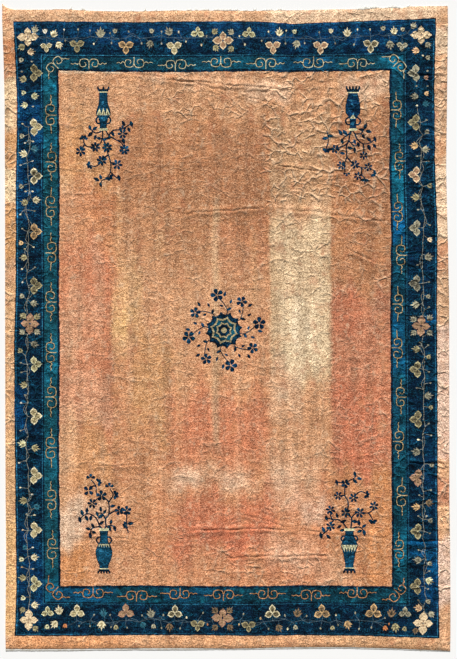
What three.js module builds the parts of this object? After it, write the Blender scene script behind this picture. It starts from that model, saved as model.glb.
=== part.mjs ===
// A room-size hand-knotted Chinese rug, lying flat with the ripples and creases of an old, worn one.
// The pile body, the bare cotton web left at the near end and the torn web at the far end are
// three solids. +X runs across the rug, +Y along it to the far end, +Z up from the floor.

import * as THREE from "three";

// Driving dimensions, in millimetres.
const overallWidth = 2736;
const overallLength = 3957; // from the near web's edge to the tip of the far left corner
const bodyThickness = 10; // cotton foundation with clipped wool pile
const webThickness = 3; // cotton warps and wefts with no pile
const seam = 0.3; // gap between the body and each web
const farWebDepth = 3; // torn web where no tuft stands out of it
const farWebStart = -1180; // the pile's far left corner has no web left
const blend = 160; // distance over which an edge's inset fades into the rug
const closestRows = 13; // fold sections nearer than this share one row
const widestRow = 230; // longest step along the rug with no row in it
const foldEnd = 0.35; // share of a fold's half length over which it dies away
const dipShare = 0.3; // reach of a fold's crease, as a share of the fold's reach

const halfWidth = overallWidth / 2;
const halfLength = overallLength / 2;

// How far each long side lies inside the overall width, from the near end to the far one.
const longSides = [
  { along: -1978.5, left: 21, right: 1 },
  { along: -1830, left: 20, right: 0 },
  { along: -1660, left: 22, right: 0 },
  { along: -1355, left: 24, right: 2 },
  { along: -1050, left: 21, right: 6 },
  { along: -440, left: 19, right: 7 },
  { along: 170, left: 18, right: 8 },
  { along: 475, left: 18, right: 14 },
  { along: 780, left: 18, right: 22 },
  { along: 993, left: 17, right: 26 },
  { along: 1390, left: 15, right: 21 },
  { along: 1634, left: 9, right: 18 },
  { along: 1878, left: 0, right: 15 },
  { along: 1978.5, left: 0, right: 16 },
];

// How far each end lies inside the overall length, from the left side to the right one:
// the far end of the pile, the near end of the pile, and the near web's outer edge.
const ends = [
  { across: -1368, far: 0, near: 20, web: 2 },
  { across: -1354, far: 14, near: 20, web: 2 },
  { across: -1330, far: 28, near: 20, web: 2 },
  { across: -1290, far: 36, near: 20, web: 3 },
  { across: -1180, far: 37, near: 19, web: 2 },
  { across: -1075, far: 38, near: 20, web: 3 },
  { across: -1000, far: 34, near: 20, web: 2 },
  { across: -860, far: 43, near: 21, web: 5 },
  { across: -710, far: 47, near: 22, web: 7 },
  { across: -525, far: 48, near: 24, web: 7 },
  { across: -375, far: 43, near: 25, web: 7 },
  { across: -160, far: 43, near: 24, web: 9 },
  { across: 20, far: 44, near: 21, web: 10 },
  { across: 150, far: 45, near: 24, web: 12 },
  { across: 330, far: 42, near: 29, web: 15 },
  { across: 500, far: 40, near: 30, web: 17 },
  { across: 660, far: 35, near: 31, web: 18 },
  { across: 755, far: 35, near: 30, web: 17 },
  { across: 830, far: 40, near: 28, web: 15 },
  { across: 940, far: 28, near: 25, web: 13 },
  { across: 1060, far: 29, near: 21, web: 10 },
  { across: 1125, far: 18, near: 18, web: 7 },
  { across: 1240, far: 15, near: 13, web: 3 },
  { across: 1368, far: 16, near: 7, web: 0 },
];

// One row for each main fold: its middle, its length and turn, how far its middle bows towards the
// far end, its height, its reach to each side, and how much of that height its crease takes back.
const folds = [
  { across: 850, along: 1940, length: 220, turn: 6, bow: 0, height: 8, reach: 30, dip: 0 },
  { across: -1240, along: 1605, length: 260, turn: 3, bow: 0, height: 6, reach: 37, dip: 1 },
  { across: 1230, along: 1540, length: 280, turn: -1, bow: 0, height: 7, reach: 37, dip: 1 },
  { across: -10, along: 1480, length: 920, turn: -5, bow: 6, height: 7, reach: 37, dip: 1 },
  { across: -30, along: 1415, length: 210, turn: -28, bow: 12, height: 4, reach: 24, dip: 1 },
  { across: 210, along: 1385, length: 330, turn: -15, bow: 0, height: 4, reach: 30, dip: 1 },
  { across: 480, along: 1310, length: 190, turn: 35, bow: 0, height: 5, reach: 30, dip: 1 },
  { across: 640, along: 1275, length: 190, turn: -27, bow: 0, height: 8, reach: 37, dip: 0 },
  { across: -330, along: 1005, length: 520, turn: -1, bow: 0, height: 4, reach: 30, dip: 1 },
  { across: 390, along: 980, length: 500, turn: -11, bow: 0, height: 5, reach: 30, dip: 1 },
  { across: -1235, along: 960, length: 240, turn: -1, bow: 0, height: 5, reach: 30, dip: 1 },
  { across: 640, along: 915, length: 380, turn: 4, bow: 6, height: 6, reach: 30, dip: 0.5 },
  { across: -10, along: 710, length: 570, turn: 4, bow: 6, height: 8, reach: 37, dip: 1 },
  { across: 650, along: 685, length: 710, turn: -7, bow: 6, height: 6, reach: 43, dip: 1 },
  { across: 860, along: 440, length: 300, turn: -23, bow: -18, height: 8, reach: 37, dip: 1 },
  { across: 135, along: 250, length: 260, turn: 0, bow: 0, height: 5, reach: 24, dip: 1 },
  { across: 440, along: 215, length: 140, turn: -31, bow: 6, height: 4, reach: 24, dip: 1 },
  { across: 1290, along: 55, length: 160, turn: 11, bow: 0, height: 5, reach: 30, dip: 1 },
  { across: -750, along: -745, length: 260, turn: 34, bow: 0, height: 5, reach: 24, dip: 0.5 },
  { across: 300, along: -760, length: 160, turn: -54, bow: 0, height: 5, reach: 30, dip: 1 },
  { across: 665, along: -740, length: 150, turn: -52, bow: 0, height: 6, reach: 30, dip: 1 },
  { across: 855, along: -775, length: 290, turn: 11, bow: 6, height: 5, reach: 30, dip: 1 },
  { across: 1230, along: -825, length: 280, turn: 0, bow: 0, height: 7, reach: 30, dip: 1 },
  { across: -660, along: -840, length: 390, turn: 3, bow: 0, height: 6, reach: 30, dip: 1 },
  { across: -210, along: -905, length: 180, turn: -20, bow: 0, height: 4, reach: 24, dip: 1 },
  { across: 405, along: -925, length: 460, turn: 4, bow: 6, height: 4, reach: 37, dip: 0.5 },
  { across: 250, along: -1185, length: 410, turn: -15, bow: 6, height: 5, reach: 30, dip: 1 },
  { across: 85, along: -1240, length: 730, turn: 1, bow: 12, height: 9, reach: 37, dip: 1 },
  { across: 725, along: -1260, length: 550, turn: -5, bow: -6, height: 7, reach: 37, dip: 1 },
  { across: -740, along: -1270, length: 530, turn: -7, bow: 0, height: 5, reach: 37, dip: 1 },
  { across: 1215, along: -1300, length: 310, turn: 0, bow: 0, height: 8, reach: 37, dip: 1 },
  { across: 335, along: -1400, length: 740, turn: 1, bow: 6, height: 8, reach: 37, dip: 1 },
];

// Tufts of torn cotton that stand out of the far end: where each starts and stops, how far it
// reaches past the pile, and the length over which it rises to that at either side.
const farTufts = [
  { from: -1065, to: -1022, reach: 8, rise: 12 },
  { from: -958, to: -938, reach: 28, rise: 9 },
  { from: -890, to: -856, reach: 22, rise: 15 },
  { from: -600, to: -550, reach: 8, rise: 14 },
  { from: -504, to: -486, reach: 26, rise: 8 },
  { from: -440, to: -420, reach: 14, rise: 9 },
  { from: -342, to: -288, reach: 10, rise: 14 },
  { from: -244, to: -206, reach: 16, rise: 10 },
  { from: -196, to: -170, reach: 17, rise: 10 },
  { from: -160, to: -98, reach: 14, rise: 12 },
  { from: -84, to: 84, reach: 15, rise: 18 },
  { from: 96, to: 138, reach: 11, rise: 12 },
  { from: 166, to: 186, reach: 29, rise: 9 },
  { from: 214, to: 292, reach: 12, rise: 14 },
  { from: 300, to: 358, reach: 16, rise: 14 },
  { from: 792, to: 936, reach: 25, rise: 24 },
  { from: 966, to: 1072, reach: 20, rise: 30 },
  { from: 1100, to: 1130, reach: 15, rise: 12 },
  { from: 1330, to: 1350, reach: 10, rise: 9 },
];

// Reads a table's column between its rows, which lie in order of the column named by key.
function read(table, key, column, place) {
  const next = table.findIndex((row) => row[key] >= place);
  if (next === 0) {
    return table[0][column];
  }
  if (next === -1) {
    return table[table.length - 1][column];
  }
  const before = table[next - 1];
  const after = table[next];
  const share = (place - before[key]) / (after[key] - before[key]);
  return THREE.MathUtils.lerp(before[column], after[column], share);
}

// 1 in the middle, 0 from 1 outwards to either side, and smooth between.
function swell(reach) {
  return Math.abs(reach) < 1 ? Math.cos((Math.PI / 2) * reach) ** 2 : 0;
}

// How high a fold lifts the rug at a place: a low swell with a crease along its middle.
function foldLift(fold, x, y) {
  const turn = THREE.MathUtils.degToRad(fold.turn);
  const right = x - fold.across;
  const up = y - fold.along;
  const run = (right * Math.cos(turn) + up * Math.sin(turn)) / (fold.length / 2);
  if (Math.abs(run) >= 1) {
    return 0;
  }
  const off = up * Math.cos(turn) - right * Math.sin(turn) - fold.bow * (1 - run * run);
  const fade = THREE.MathUtils.smoothstep(1 - Math.abs(run), 0, foldEnd);
  const crease = fold.dip * swell(off / (fold.reach * dipShare));
  return fold.height * fade * (swell(off / fold.reach) - crease);
}

// Where folds meet, the highest one counts. Between the folds the rug lies on the floor.
function lift(x, y) {
  return Math.max(0, ...folds.map((fold) => foldLift(fold, x, y)));
}

// Moves a place of the plain rectangle by the insets of the side and the end near it.
function drawn(across, along) {
  const nearness = (distance) => Math.max(0, 1 - distance / blend);
  const left = read(longSides, "along", "left", along) * nearness(across + halfWidth);
  const right = read(longSides, "along", "right", along) * nearness(halfWidth - across);
  const near = read(ends, "across", "near", across) * nearness(along + halfLength);
  const far = read(ends, "across", "far", across) * nearness(halfLength - along);
  return { x: across + left - right, y: along + near - far };
}

// The rows of the body: the ends, each fold's crest, crease and feet, and steps between them.
function bodyRows() {
  const sections = folds.flatMap((fold) => {
    const foot = fold.reach;
    const crest = fold.reach * 0.4;
    const middle = fold.along + fold.bow;
    return [middle - foot, middle - crest, middle, middle + crest, middle + foot];
  });
  const inside = sections.filter((along) => Math.abs(along) < halfLength - closestRows);
  const sorted = [...inside, halfLength].sort((a, b) => a - b);
  const rows = [-halfLength];
  for (const along of sorted) {
    const last = rows[rows.length - 1];
    if (along - last < closestRows && along < halfLength) {
      continue;
    }
    const steps = Math.ceil((along - last) / widestRow);
    for (let step = 1; step <= steps; step++) {
      rows.push(THREE.MathUtils.lerp(last, along, step / steps));
    }
  }
  return rows;
}

// A closed sheet with one column for each entry of columns and one row for each entry of rows.
// place turns the two entries into x and y, and the sheet's underside lies at the folds' lift.
function sheet(name, columns, rows, place, thickness, material) {
  const columnSteps = columns.length - 1;
  const rowSteps = rows.length - 1;
  const geometry = new THREE.BoxGeometry(1, 1, 1, columnSteps, rowSteps, 1);
  const corners = geometry.attributes.position;
  for (let i = 0; i < corners.count; i++) {
    const column = columns[Math.round((corners.getX(i) + 0.5) * columnSteps)];
    const row = rows[Math.round((corners.getY(i) + 0.5) * rowSteps)];
    const { x, y } = place(column, row);
    const rise = corners.getZ(i) > 0 ? thickness : 0;
    corners.setXYZ(i, x, y, lift(x, y) + rise);
  }
  geometry.computeVertexNormals();
  const mesh = new THREE.Mesh(geometry, material);
  mesh.name = name;
  return mesh;
}

// How far the far web reaches past the pile at a place.
function farReach(x) {
  let reach = farWebDepth;
  for (const tuft of farTufts) {
    const fromFoot = Math.min(x - tuft.from, tuft.to - x);
    const rise = Math.min(1, Math.max(0, fromFoot / tuft.rise));
    reach = Math.max(reach, farWebDepth + (tuft.reach - farWebDepth) * rise);
  }
  return reach;
}

const columns = ends.map((row) => row.across);
const farEdge = columns.map((across) => drawn(across, halfLength));

function body() {
  const material = new THREE.MeshStandardMaterial({
    name: "peach_wool_pile",
    color: 0xd29a6c,
    roughness: 0.95,
    metalness: 0,
  });
  return sheet("rug_body", columns, bodyRows(), drawn, bodyThickness, material);
}

function cotton(name) {
  return new THREE.MeshStandardMaterial({ name, color: 0xe9e4d6, roughness: 0.9, metalness: 0 });
}

// The near web runs along the pile's near end, from the seam to its own wavy outer edge.
function nearWeb() {
  const rows = ["outer", "inner"];
  const place = (across, row) => {
    const edge = drawn(across, -halfLength);
    const outer = read(ends, "across", "web", across) - halfLength;
    return { x: edge.x, y: row === "inner" ? edge.y - seam : outer };
  };
  return sheet("near_web", columns, rows, place, webThickness, cotton("white_cotton_web"));
}

// The far web is one comb: a narrow strip along the pile's far end with torn tufts standing out.
function farWeb() {
  const tuftCorners = farTufts.flatMap((tuft) => [
    tuft.from,
    tuft.from + tuft.rise,
    tuft.to - tuft.rise,
    tuft.to,
  ]);
  const edgeCorners = farEdge.map((corner) => corner.x).filter((x) => x >= farWebStart);
  const stations = [...new Set([...tuftCorners, ...edgeCorners])].sort((a, b) => a - b);
  const rows = ["inner", "outer"];
  const place = (x, row) => {
    const inner = read(farEdge, "x", "y", x) + seam;
    return { x, y: row === "inner" ? inner : inner + farReach(x) - seam };
  };
  return sheet("far_web", stations, rows, place, webThickness, cotton("torn_cotton_web"));
}

const rug = new THREE.Group();
rug.add(body(), nearWeb(), farWeb());

export default rug;
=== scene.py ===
import bpy
import math
import numpy as np
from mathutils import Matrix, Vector
from mathutils import noise
from mathutils.geometry import delaunay_2d_cdt


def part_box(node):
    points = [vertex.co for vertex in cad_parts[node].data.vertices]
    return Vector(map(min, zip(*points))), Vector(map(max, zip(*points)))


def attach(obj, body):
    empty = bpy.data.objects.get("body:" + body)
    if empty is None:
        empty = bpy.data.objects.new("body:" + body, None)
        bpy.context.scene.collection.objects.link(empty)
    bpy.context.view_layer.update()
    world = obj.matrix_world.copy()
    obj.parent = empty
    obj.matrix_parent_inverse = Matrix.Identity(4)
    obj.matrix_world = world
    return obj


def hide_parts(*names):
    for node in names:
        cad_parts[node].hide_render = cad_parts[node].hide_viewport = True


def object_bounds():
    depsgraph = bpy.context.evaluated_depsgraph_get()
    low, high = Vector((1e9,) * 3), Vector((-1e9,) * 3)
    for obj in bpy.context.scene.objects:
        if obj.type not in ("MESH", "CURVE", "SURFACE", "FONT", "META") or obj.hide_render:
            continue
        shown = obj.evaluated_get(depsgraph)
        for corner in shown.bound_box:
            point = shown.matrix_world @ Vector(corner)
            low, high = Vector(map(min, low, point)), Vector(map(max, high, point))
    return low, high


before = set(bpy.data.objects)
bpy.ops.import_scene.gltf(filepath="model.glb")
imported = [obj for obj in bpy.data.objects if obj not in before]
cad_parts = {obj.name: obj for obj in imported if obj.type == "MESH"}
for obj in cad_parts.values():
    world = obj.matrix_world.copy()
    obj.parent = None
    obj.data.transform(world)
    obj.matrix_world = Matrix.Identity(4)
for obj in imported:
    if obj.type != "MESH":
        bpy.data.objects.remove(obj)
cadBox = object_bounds()

# Tables for the rug's plan are in centimetres from its middle, +x across and +y to the far end.
# Heights and fold sizes are in millimetres.
mm = 0.001
cm = 0.01
perCm = 10  # millimetres in a centimetre
seed = 1925
rng = np.random.default_rng(seed)
noise.seed_set(seed)  # without it, noise_vector differs from run to run

bodyLow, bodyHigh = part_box("rug_body")
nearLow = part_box("near_web")[0]
halfWidth = (cadBox[1][0] - cadBox[0][0]) / 2 / mm
halfLength = (cadBox[1][1] - cadBox[0][1]) / 2 / mm
print("frame loaded", [round(v, 4) for v in bodyLow], [round(v, 4) for v in bodyHigh])

# The solid's plan and folds, repeated from the part in its own millimetres.
blend = 160  # how far in from the edge its insets are felt
foldEnd = 0.35  # a fold fades out over this share of its half length
dipShare = 0.3  # half width of the dip along a fold's crest, as a share of the fold's reach
# along, left inset, right inset
longSides = np.array([
    (-1978.5, 21, 1), (-1830, 20, 0), (-1660, 22, 0), (-1355, 24, 2), (-1050, 21, 6), (-440, 19, 7),
    (170, 18, 8), (475, 18, 14), (780, 18, 22), (993, 17, 26), (1390, 15, 21), (1634, 9, 18), (1878, 0, 15),
    (1978.5, 0, 16),
])
# across, far inset, near inset, near web's inset
rugEnds = np.array([
    (-1368, 0, 20, 2), (-1354, 14, 20, 2), (-1330, 28, 20, 2), (-1290, 36, 20, 3), (-1180, 37, 19, 2),
    (-1075, 38, 20, 3), (-1000, 34, 20, 2), (-860, 43, 21, 5), (-710, 47, 22, 7), (-525, 48, 24, 7),
    (-375, 43, 25, 7), (-160, 43, 24, 9), (20, 44, 21, 10), (150, 45, 24, 12), (330, 42, 29, 15),
    (500, 40, 30, 17), (660, 35, 31, 18), (755, 35, 30, 17), (830, 40, 28, 15), (940, 28, 25, 13),
    (1060, 29, 21, 10), (1125, 18, 18, 7), (1240, 15, 13, 3), (1368, 16, 7, 0),
])
# across, along, length, turn, bow, height, reach, dip
folds = [
    (850, 1940, 220, 6, 0, 8, 30, 0), (-1240, 1605, 260, 3, 0, 6, 37, 1),
    (1230, 1540, 280, -1, 0, 7, 37, 1), (-10, 1480, 920, -5, 6, 7, 37, 1),
    (-30, 1415, 210, -28, 12, 4, 24, 1), (210, 1385, 330, -15, 0, 4, 30, 1),
    (480, 1310, 190, 35, 0, 5, 30, 1), (640, 1275, 190, -27, 0, 8, 37, 0),
    (-330, 1005, 520, -1, 0, 4, 30, 1), (390, 980, 500, -11, 0, 5, 30, 1),
    (-1235, 960, 240, -1, 0, 5, 30, 1), (640, 915, 380, 4, 6, 6, 30, 0.5), (-10, 710, 570, 4, 6, 8, 37, 1),
    (650, 685, 710, -7, 6, 6, 43, 1), (860, 440, 300, -23, -18, 8, 37, 1), (135, 250, 260, 0, 0, 5, 24, 1),
    (440, 215, 140, -31, 6, 4, 24, 1), (1290, 55, 160, 11, 0, 5, 30, 1),
    (-750, -745, 260, 34, 0, 5, 24, 0.5), (300, -760, 160, -54, 0, 5, 30, 1),
    (665, -740, 150, -52, 0, 6, 30, 1), (855, -775, 290, 11, 6, 5, 30, 1),
    (1230, -825, 280, 0, 0, 7, 30, 1), (-660, -840, 390, 3, 0, 6, 30, 1),
    (-210, -905, 180, -20, 0, 4, 24, 1), (405, -925, 460, 4, 6, 4, 37, 0.5),
    (250, -1185, 410, -15, 6, 5, 30, 1), (85, -1240, 730, 1, 12, 9, 37, 1),
    (725, -1260, 550, -5, -6, 7, 37, 1), (-740, -1270, 530, -7, 0, 5, 37, 1),
    (1215, -1300, 310, 0, 0, 8, 37, 1), (335, -1400, 740, 1, 6, 8, 37, 1),
]
# from, to, reach, rise
farTufts = [
    (-1065, -1022, 8, 12), (-958, -938, 28, 9), (-890, -856, 22, 15), (-600, -550, 8, 14),
    (-504, -486, 26, 8), (-440, -420, 14, 9), (-342, -288, 10, 14), (-244, -206, 16, 10),
    (-196, -170, 17, 10), (-160, -98, 14, 12), (-84, 84, 15, 18), (96, 138, 11, 12), (166, 186, 29, 9),
    (214, 292, 12, 14), (300, 358, 16, 14), (792, 936, 25, 24), (966, 1072, 20, 30), (1100, 1130, 15, 12),
    (1330, 1350, 10, 9),
]

# Finer creases of the pile, each drawn from one end to the other: x, y, x, y in centimetres, how
# deep and how far to each side in millimetres and, where it isn't straight, its bow in centimetres.
creases = [
    (-100.2, 95.7, -77, 95.1, 2.5, 11), (-40.4, 96.3, -16, 96.3, 2.5, 10), (-90.4, 61.8, -85.6, 61.2, 2, 9),
    (-47.1, 58.5, -39.8, 63.3, 2, 9), (40.1, 57.2, 45.6, 54.8, 3, 9), (45, 54.8, 52.9, 57.9, 3, 9),
    (66.3, 67, 82.8, 64, 3, 12, -0.6), (82.8, 64, 100.5, 65.2, 3, 12, 0.6),
    (-28.2, -68.4, 20.6, -69, 1.5, 8), (-34.3, -132.5, -13, -130, 2.5, 10),
    (-43.5, -127, -37.4, -136.7, 2, 9), (-0.8, -150.8, 21.8, -142.8, 2.5, 9, 1.2),
    (8.4, -153.8, 35.8, -142.8, 2.5, 9, 1.2), (25.5, -153.8, 45, -139.2, 2.5, 9),
    (42.5, -155, 56, -141.6, 2, 9), (72.4, -152, 100.5, -150.8, 3, 11, 0.6),
    (38.9, 90.2, 58.4, 92, 3, 11, 1.2), (58.4, 92, 72.4, 89.6, 2.5, 10, -1.2),
    (72.4, 89.6, 84, 88.4, 2.5, 10), (52.9, 194.5, 54.7, 184.7, 2.5, 9),
    (64.5, -25.7, 66.9, -50.7, 2, 7, 0.6), (-128.3, 170.7, -111.2, 170.7, 4, 10.8),
    (-135, 162.2, -128.9, 161.6, 4, 10.8), (-135, 157.9, -128.9, 158.5, 4, 10.8),
    (-135, 154.2, -113.6, 153.6, 3.2, 10.8), (-135, 142, -128.9, 142, 3.2, 9.6),
    (-135, 135.9, -111.2, 136.5, 4, 12), (-135, 128, -128.9, 127.4, 3.2, 9.6),
    (-135, 96.9, -101.4, 96.3, 4, 12), (-135, 78, -111.2, 77.4, 3.2, 10.8),
    (-135, -76.3, -125.8, -74.5, 4, 10.8), (-135, -62.3, -128.3, -62.9, 3.2, 9.6),
    (109, 154.2, 134.7, 153, 4, 12), (109, 118.9, 133.4, 118.9, 4, 12), (101.1, 102.4, 133.4, 101.8, 4, 12),
    (113.3, 81, 130.4, 95.1, 4.8, 12), (127.9, 86.5, 134.7, 86.5, 3.2, 9.6),
    (127.9, 70.7, 134.7, 70.1, 3.2, 9.6), (127.9, 60.9, 134.7, 60.9, 3.2, 9.6),
    (108.4, 40.2, 134.7, 40.2, 4, 10.8), (108.4, 35.3, 134.7, 34.7, 4, 10.8),
    (108.4, 7.2, 130.4, 3, 4.8, 12, 0.6), (108.4, -82.4, 135.9, -83.1, 6.4, 14.4),
    (108.4, -88.5, 135.9, -89.2, 4, 10.8), (108.4, -108.1, 135.9, -108.7, 4.8, 12),
    (108.4, -119.7, 135.9, -119.7, 4, 10.8), (108.4, -130, 135.9, -129.4, 7.2, 15.6, -0.6),
    (108.4, -143.4, 135.9, -143.4, 4, 10.8), (118.2, -155.6, 135.9, -156.3, 4, 10.8),
    (-92.3, 152.4, -58.7, 154.8, 2.5, 9), (-69.7, 157.3, -34.3, 152.4, 3.2, 12, -0.6),
    (-35.5, 152.4, -0.2, 143.9, 3, 12, 0.6), (-46.5, 154.8, -41.6, 148.7, 2, 8),
    (-42.9, 154.8, -36.8, 148.7, 2, 8), (-34.3, 151.2, -17.2, 149.4, 3, 9), (-16, 146.3, 8.4, 145.1, 2, 9),
    (17.5, 143.9, 45, 143.9, 3, 11), (19.4, 139.6, 32.8, 134.1, 1.5, 8), (34, 150, 45, 152.4, 2, 9, 1.2),
    (48, 148.7, 63.3, 154.8, 2.5, 9), (66.3, 150, 70.6, 147.5, 2, 8), (69.4, 150, 76.7, 153.6, 2.5, 9),
    (76.7, 152.4, 88.9, 152.4, 2.5, 9, 0.6), (25.5, 131.7, 31.6, 139, 1.5, 8),
    (35.8, 128, 43.8, 131.7, 1.5, 8), (43.8, 114.6, 52.3, 128, 2, 9),
    (52.3, 129.8, 65.7, 131.7, 2.5, 10, 2.4), (57.2, 120.7, 63.3, 114.6, 2, 9),
    (65.1, 131.7, 72.4, 121.9, 2, 9), (60.2, 119.5, 72.4, 115.8, 2.5, 10, 1.2),
    (25.5, 99.3, 63.3, 95.1, 2, 9), (38.9, 89, 45, 96.3, 1.5, 8), (45, 89, 51.1, 95.1, 1.5, 8),
    (66.3, 91.4, 81.6, 87.7, 2.5, 9, 0.6), (75.5, 87.1, 90.7, 84.1, 2, 8),
    (-100.2, 95.1, -86.8, 94.5, 2.5, 10), (-84.3, 126.2, -79.5, 128, 1.5, 8),
    (-99.6, 108.5, -96.5, 109.1, 2, 6), (-8.7, -141.6, 8.4, -139.2, 2, 9),
    (-100.2, -141.6, -83.1, -139.2, 1.5, 8), (-64.8, -156.9, -52.6, -152, 1.5, 8),
]


pileLook = {
    "creaseLip": 0.45,  # how much of a crease's depth its two lips rise
    "lipReach": 2.4,  # how far out the lips reach, against the crease's own reach
    "creaseEnd": 0.6,  # a crease fades out over this share of its half length
    "deepen": 1.5,  # how much deeper the fine creases are than their table says
    "stray": 2.6,  # how far the folds waver, in millimetres
    "uneven": 0.16,  # how much a fold's height varies along it
    "wander": 3.4,  # how far a crease strays from its line, in millimetres
    "hump": 0.55,  # height of the pile's slow waves
    "edgeDrop": 1.4,  # how far the pile falls at the rug's sides
    "endDrop": 3.6,  # and how much further at its trodden ends
    "edgeRound": 7.0,  # over how wide a strip it falls at the sides
    "endRound": 22.0,  # and at the ends
    "endZone": 70,  # how far from the plain rectangle's end an edge counts as the end's
}

# Where the pile is crumpled: x, y, half width, half height and soft edge in centimetres, then the
# crumples' height and their spacing across and along in millimetres.
crumples = [
    (-0.2, -0.1, 140.3, 202.5, 2.4, 0.45, 150, 60), (61.5, 116.7, 39.6, 41.8, 8.5, 5.2, 84, 56),
    (120.6, 102.4, 19.5, 85.4, 4.9, 5.4, 200, 74), (63.3, 48.1, 37.8, 31.1, 9.8, 2.6, 140, 56),
    (-22.1, 74.3, 47.6, 34.2, 12.2, 1.1, 210, 40), (-8.7, 141.4, 32.9, 17.1, 8.5, 3, 160, 48),
    (-71.5, 139, 31.1, 19.5, 8.5, 1.2, 130, 52), (-121.5, 49.9, 18.9, 131.8, 4.9, 4.4, 190, 76),
    (120.6, -75.7, 19.5, 92.7, 4.9, 4.8, 200, 74), (78.5, -101.4, 22.6, 59.8, 9.8, 2.4, 110, 60),
    (29.7, -146.8, 34.8, 14.3, 7.3, 3.2, 66, 46), (-52.6, -130, 50, 37.2, 12.2, 0.8, 90, 52),
    (-85.6, 13.9, 15.9, 106.8, 7.3, 0.7, 110, 50), (-0.8, 193.9, 131.2, 8.5, 3.7, 2.2, 90, 80),
    (8.4, -117.2, 54.9, 24.4, 12.2, 1.2, 140, 48), (-0.8, -194.7, 131.2, 7.9, 3.7, 1.6, 90, 60),
]


def swell(reach):
    return np.where(np.abs(reach) < 1, np.cos(np.pi / 2 * np.clip(reach, -1, 1)) ** 2, 0.0)


def smooth(share):
    share = np.clip(share, 0, 1)
    return share * share * (3 - 2 * share)


def foldPlace(x, y, fold):
    # how far along the fold a place is, from -1 to 1, and how far off its line
    across, along, length, turn, bow = fold[:5]
    turn = math.radians(turn)
    right, up = x - across, y - along
    run = (right * math.cos(turn) + up * math.sin(turn)) / (length / 2)
    off = up * math.cos(turn) - right * math.sin(turn) - bow * (1 - run * run)
    return run, off


def foldLift(x, y, fold):
    # a fold's height at a place: a rounded ridge with a dip along its crest
    height, reach, dip = fold[5:]
    run, off = foldPlace(x, y, fold)
    fade = smooth((1 - np.abs(run)) / foldEnd)
    crease = dip * swell(off / (reach * dipShare))
    return np.where(np.abs(run) < 1, height * fade * (swell(off / reach) - crease), 0.0)


def lift(x, y):
    # the underside's height over the floor, in millimetres
    waver = np.sin(x / 53 + 1.1) + 0.7 * np.sin(x / 23) + 0.4 * np.sin(x / 11 + y / 70)
    strayed = y + pileLook["stray"] * waver
    high = np.zeros_like(x)
    for number, fold in enumerate(folds):
        swelling = 1 - pileLook["uneven"] + pileLook["uneven"] * np.sin(x / 31 + 2.3 * number)
        high = np.maximum(high, foldLift(x, strayed, fold) * swelling)
    return high


def creaseFold(x0, y0, x1, y1, depth, reach, bow=0):
    # a fine crease as a row like a fold's, with its depth in the height's place
    return ((x0 + x1) / 2 * perCm, (y0 + y1) / 2 * perCm, math.hypot(x1 - x0, y1 - y0) * perCm,
            math.degrees(math.atan2(y1 - y0, x1 - x0)), bow * perCm, depth * pileLook["deepen"], reach)


fineFolds = [creaseFold(*row) for row in creases]


def crumpleShare(x, y, row):
    cx, cy, halfX, halfY, soft = row[:5]
    share = smooth((halfX + soft / 2 - np.abs(x / perCm - cx)) / soft)
    return share * smooth((halfY + soft / 2 - np.abs(y / perCm - cy)) / soft)


crumpleLook = {
    "least": 0.02,  # share of a patch's height below which it is left smooth
    "bend": 0.35,  # how far slow noise bends the facets
    "bendScale": 1.3,
    "valley": 2.2,  # how steeply facets rise from the valleys between them
    "ridge": 4.5,  # how narrow the ridges across them are
    "ridgeScale": 0.8,
    "share": 0.6,  # height of facets and of ridges
    "sink": 0.55,  # how far the whole patch sinks
}


def crumpled(x, y):
    # small soft facets with sharp valleys between them, deeper in some places than in others
    look = crumpleLook
    rise = np.zeros_like(x)
    for number, row in enumerate(crumples):
        share = crumpleShare(x, y, row)
        height, across, along = row[5:]
        for i in np.nonzero(share > look["least"])[0]:
            # the number moves each patch to another part of the noise
            spot = Vector((x[i] / across + 9.1 * number, y[i] / along, 0.37 * number))
            spot += look["bend"] * noise.noise_vector(spot * look["bendScale"])
            near, following = noise.voronoi(spot)[0][:2]
            pillow = min(1.0, (following - near) * look["valley"])
            ridge = max(0.0, 1 - look["ridge"] * abs(noise.noise(spot * look["ridgeScale"])))
            facet = look["share"] * pillow * (2 - pillow) + look["share"] * ridge * ridge - look["sink"]
            rise[i] += share[i] * height * facet
    return rise


def pileRelief(x, y):
    # what the pile's top adds to the folds: crumples, fine creases and slow waves
    rise = crumpled(x, y)
    for number, fold in enumerate(fineFolds):
        depth, reach = fold[5], fold[6]
        run, off = foldPlace(x, y, fold)
        wander = pileLook["wander"] * (np.sin(run * 5.1 + number * 1.7) + 0.6 * np.sin(run * 11.7 + number))
        off = off + wander
        fade = smooth((1 - np.abs(run)) / pileLook["creaseEnd"])
        shape = pileLook["creaseLip"] * swell(off / (pileLook["lipReach"] * reach)) - swell(off / reach)
        rise += np.where(np.abs(run) < 1, depth * fade * shape, 0.0)
    waves = (np.sin(x / 61 + 1.9 * np.sin(y / 173)) * np.sin(y / 37 + 1.3 * np.sin(x / 149))
             + 0.6 * np.sin(x / 97 - y / 23 + 2 * np.sin(y / 211))
             + 0.5 * np.sin(y / 17 + x / 131 + 1.7 * np.sin(x / 83)))
    return rise + pileLook["hump"] * waves


def topHeight(x, y):
    return lift(x, y) + thickness + pileRelief(x, y)


thickness = round((bodyHigh[2] - bodyLow[2]) / mm) - max(round(f[5]) for f in folds) + 1


def insetAt(table, column, place):
    return np.interp(place, table[:, 0], table[:, column])


def drawn(across, along):
    # moves a place of the plain rectangle by the insets of the side and end near it
    nearness = lambda distance: np.maximum(0, 1 - distance / blend)
    left = insetAt(longSides, 1, along) * nearness(across + halfWidth)
    right = insetAt(longSides, 2, along) * nearness(halfWidth - across)
    near = insetAt(rugEnds, 2, across) * nearness(along + halfLength)
    far = insetAt(rugEnds, 1, across) * nearness(halfLength - along)
    return across + left - right, along + near - far


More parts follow.
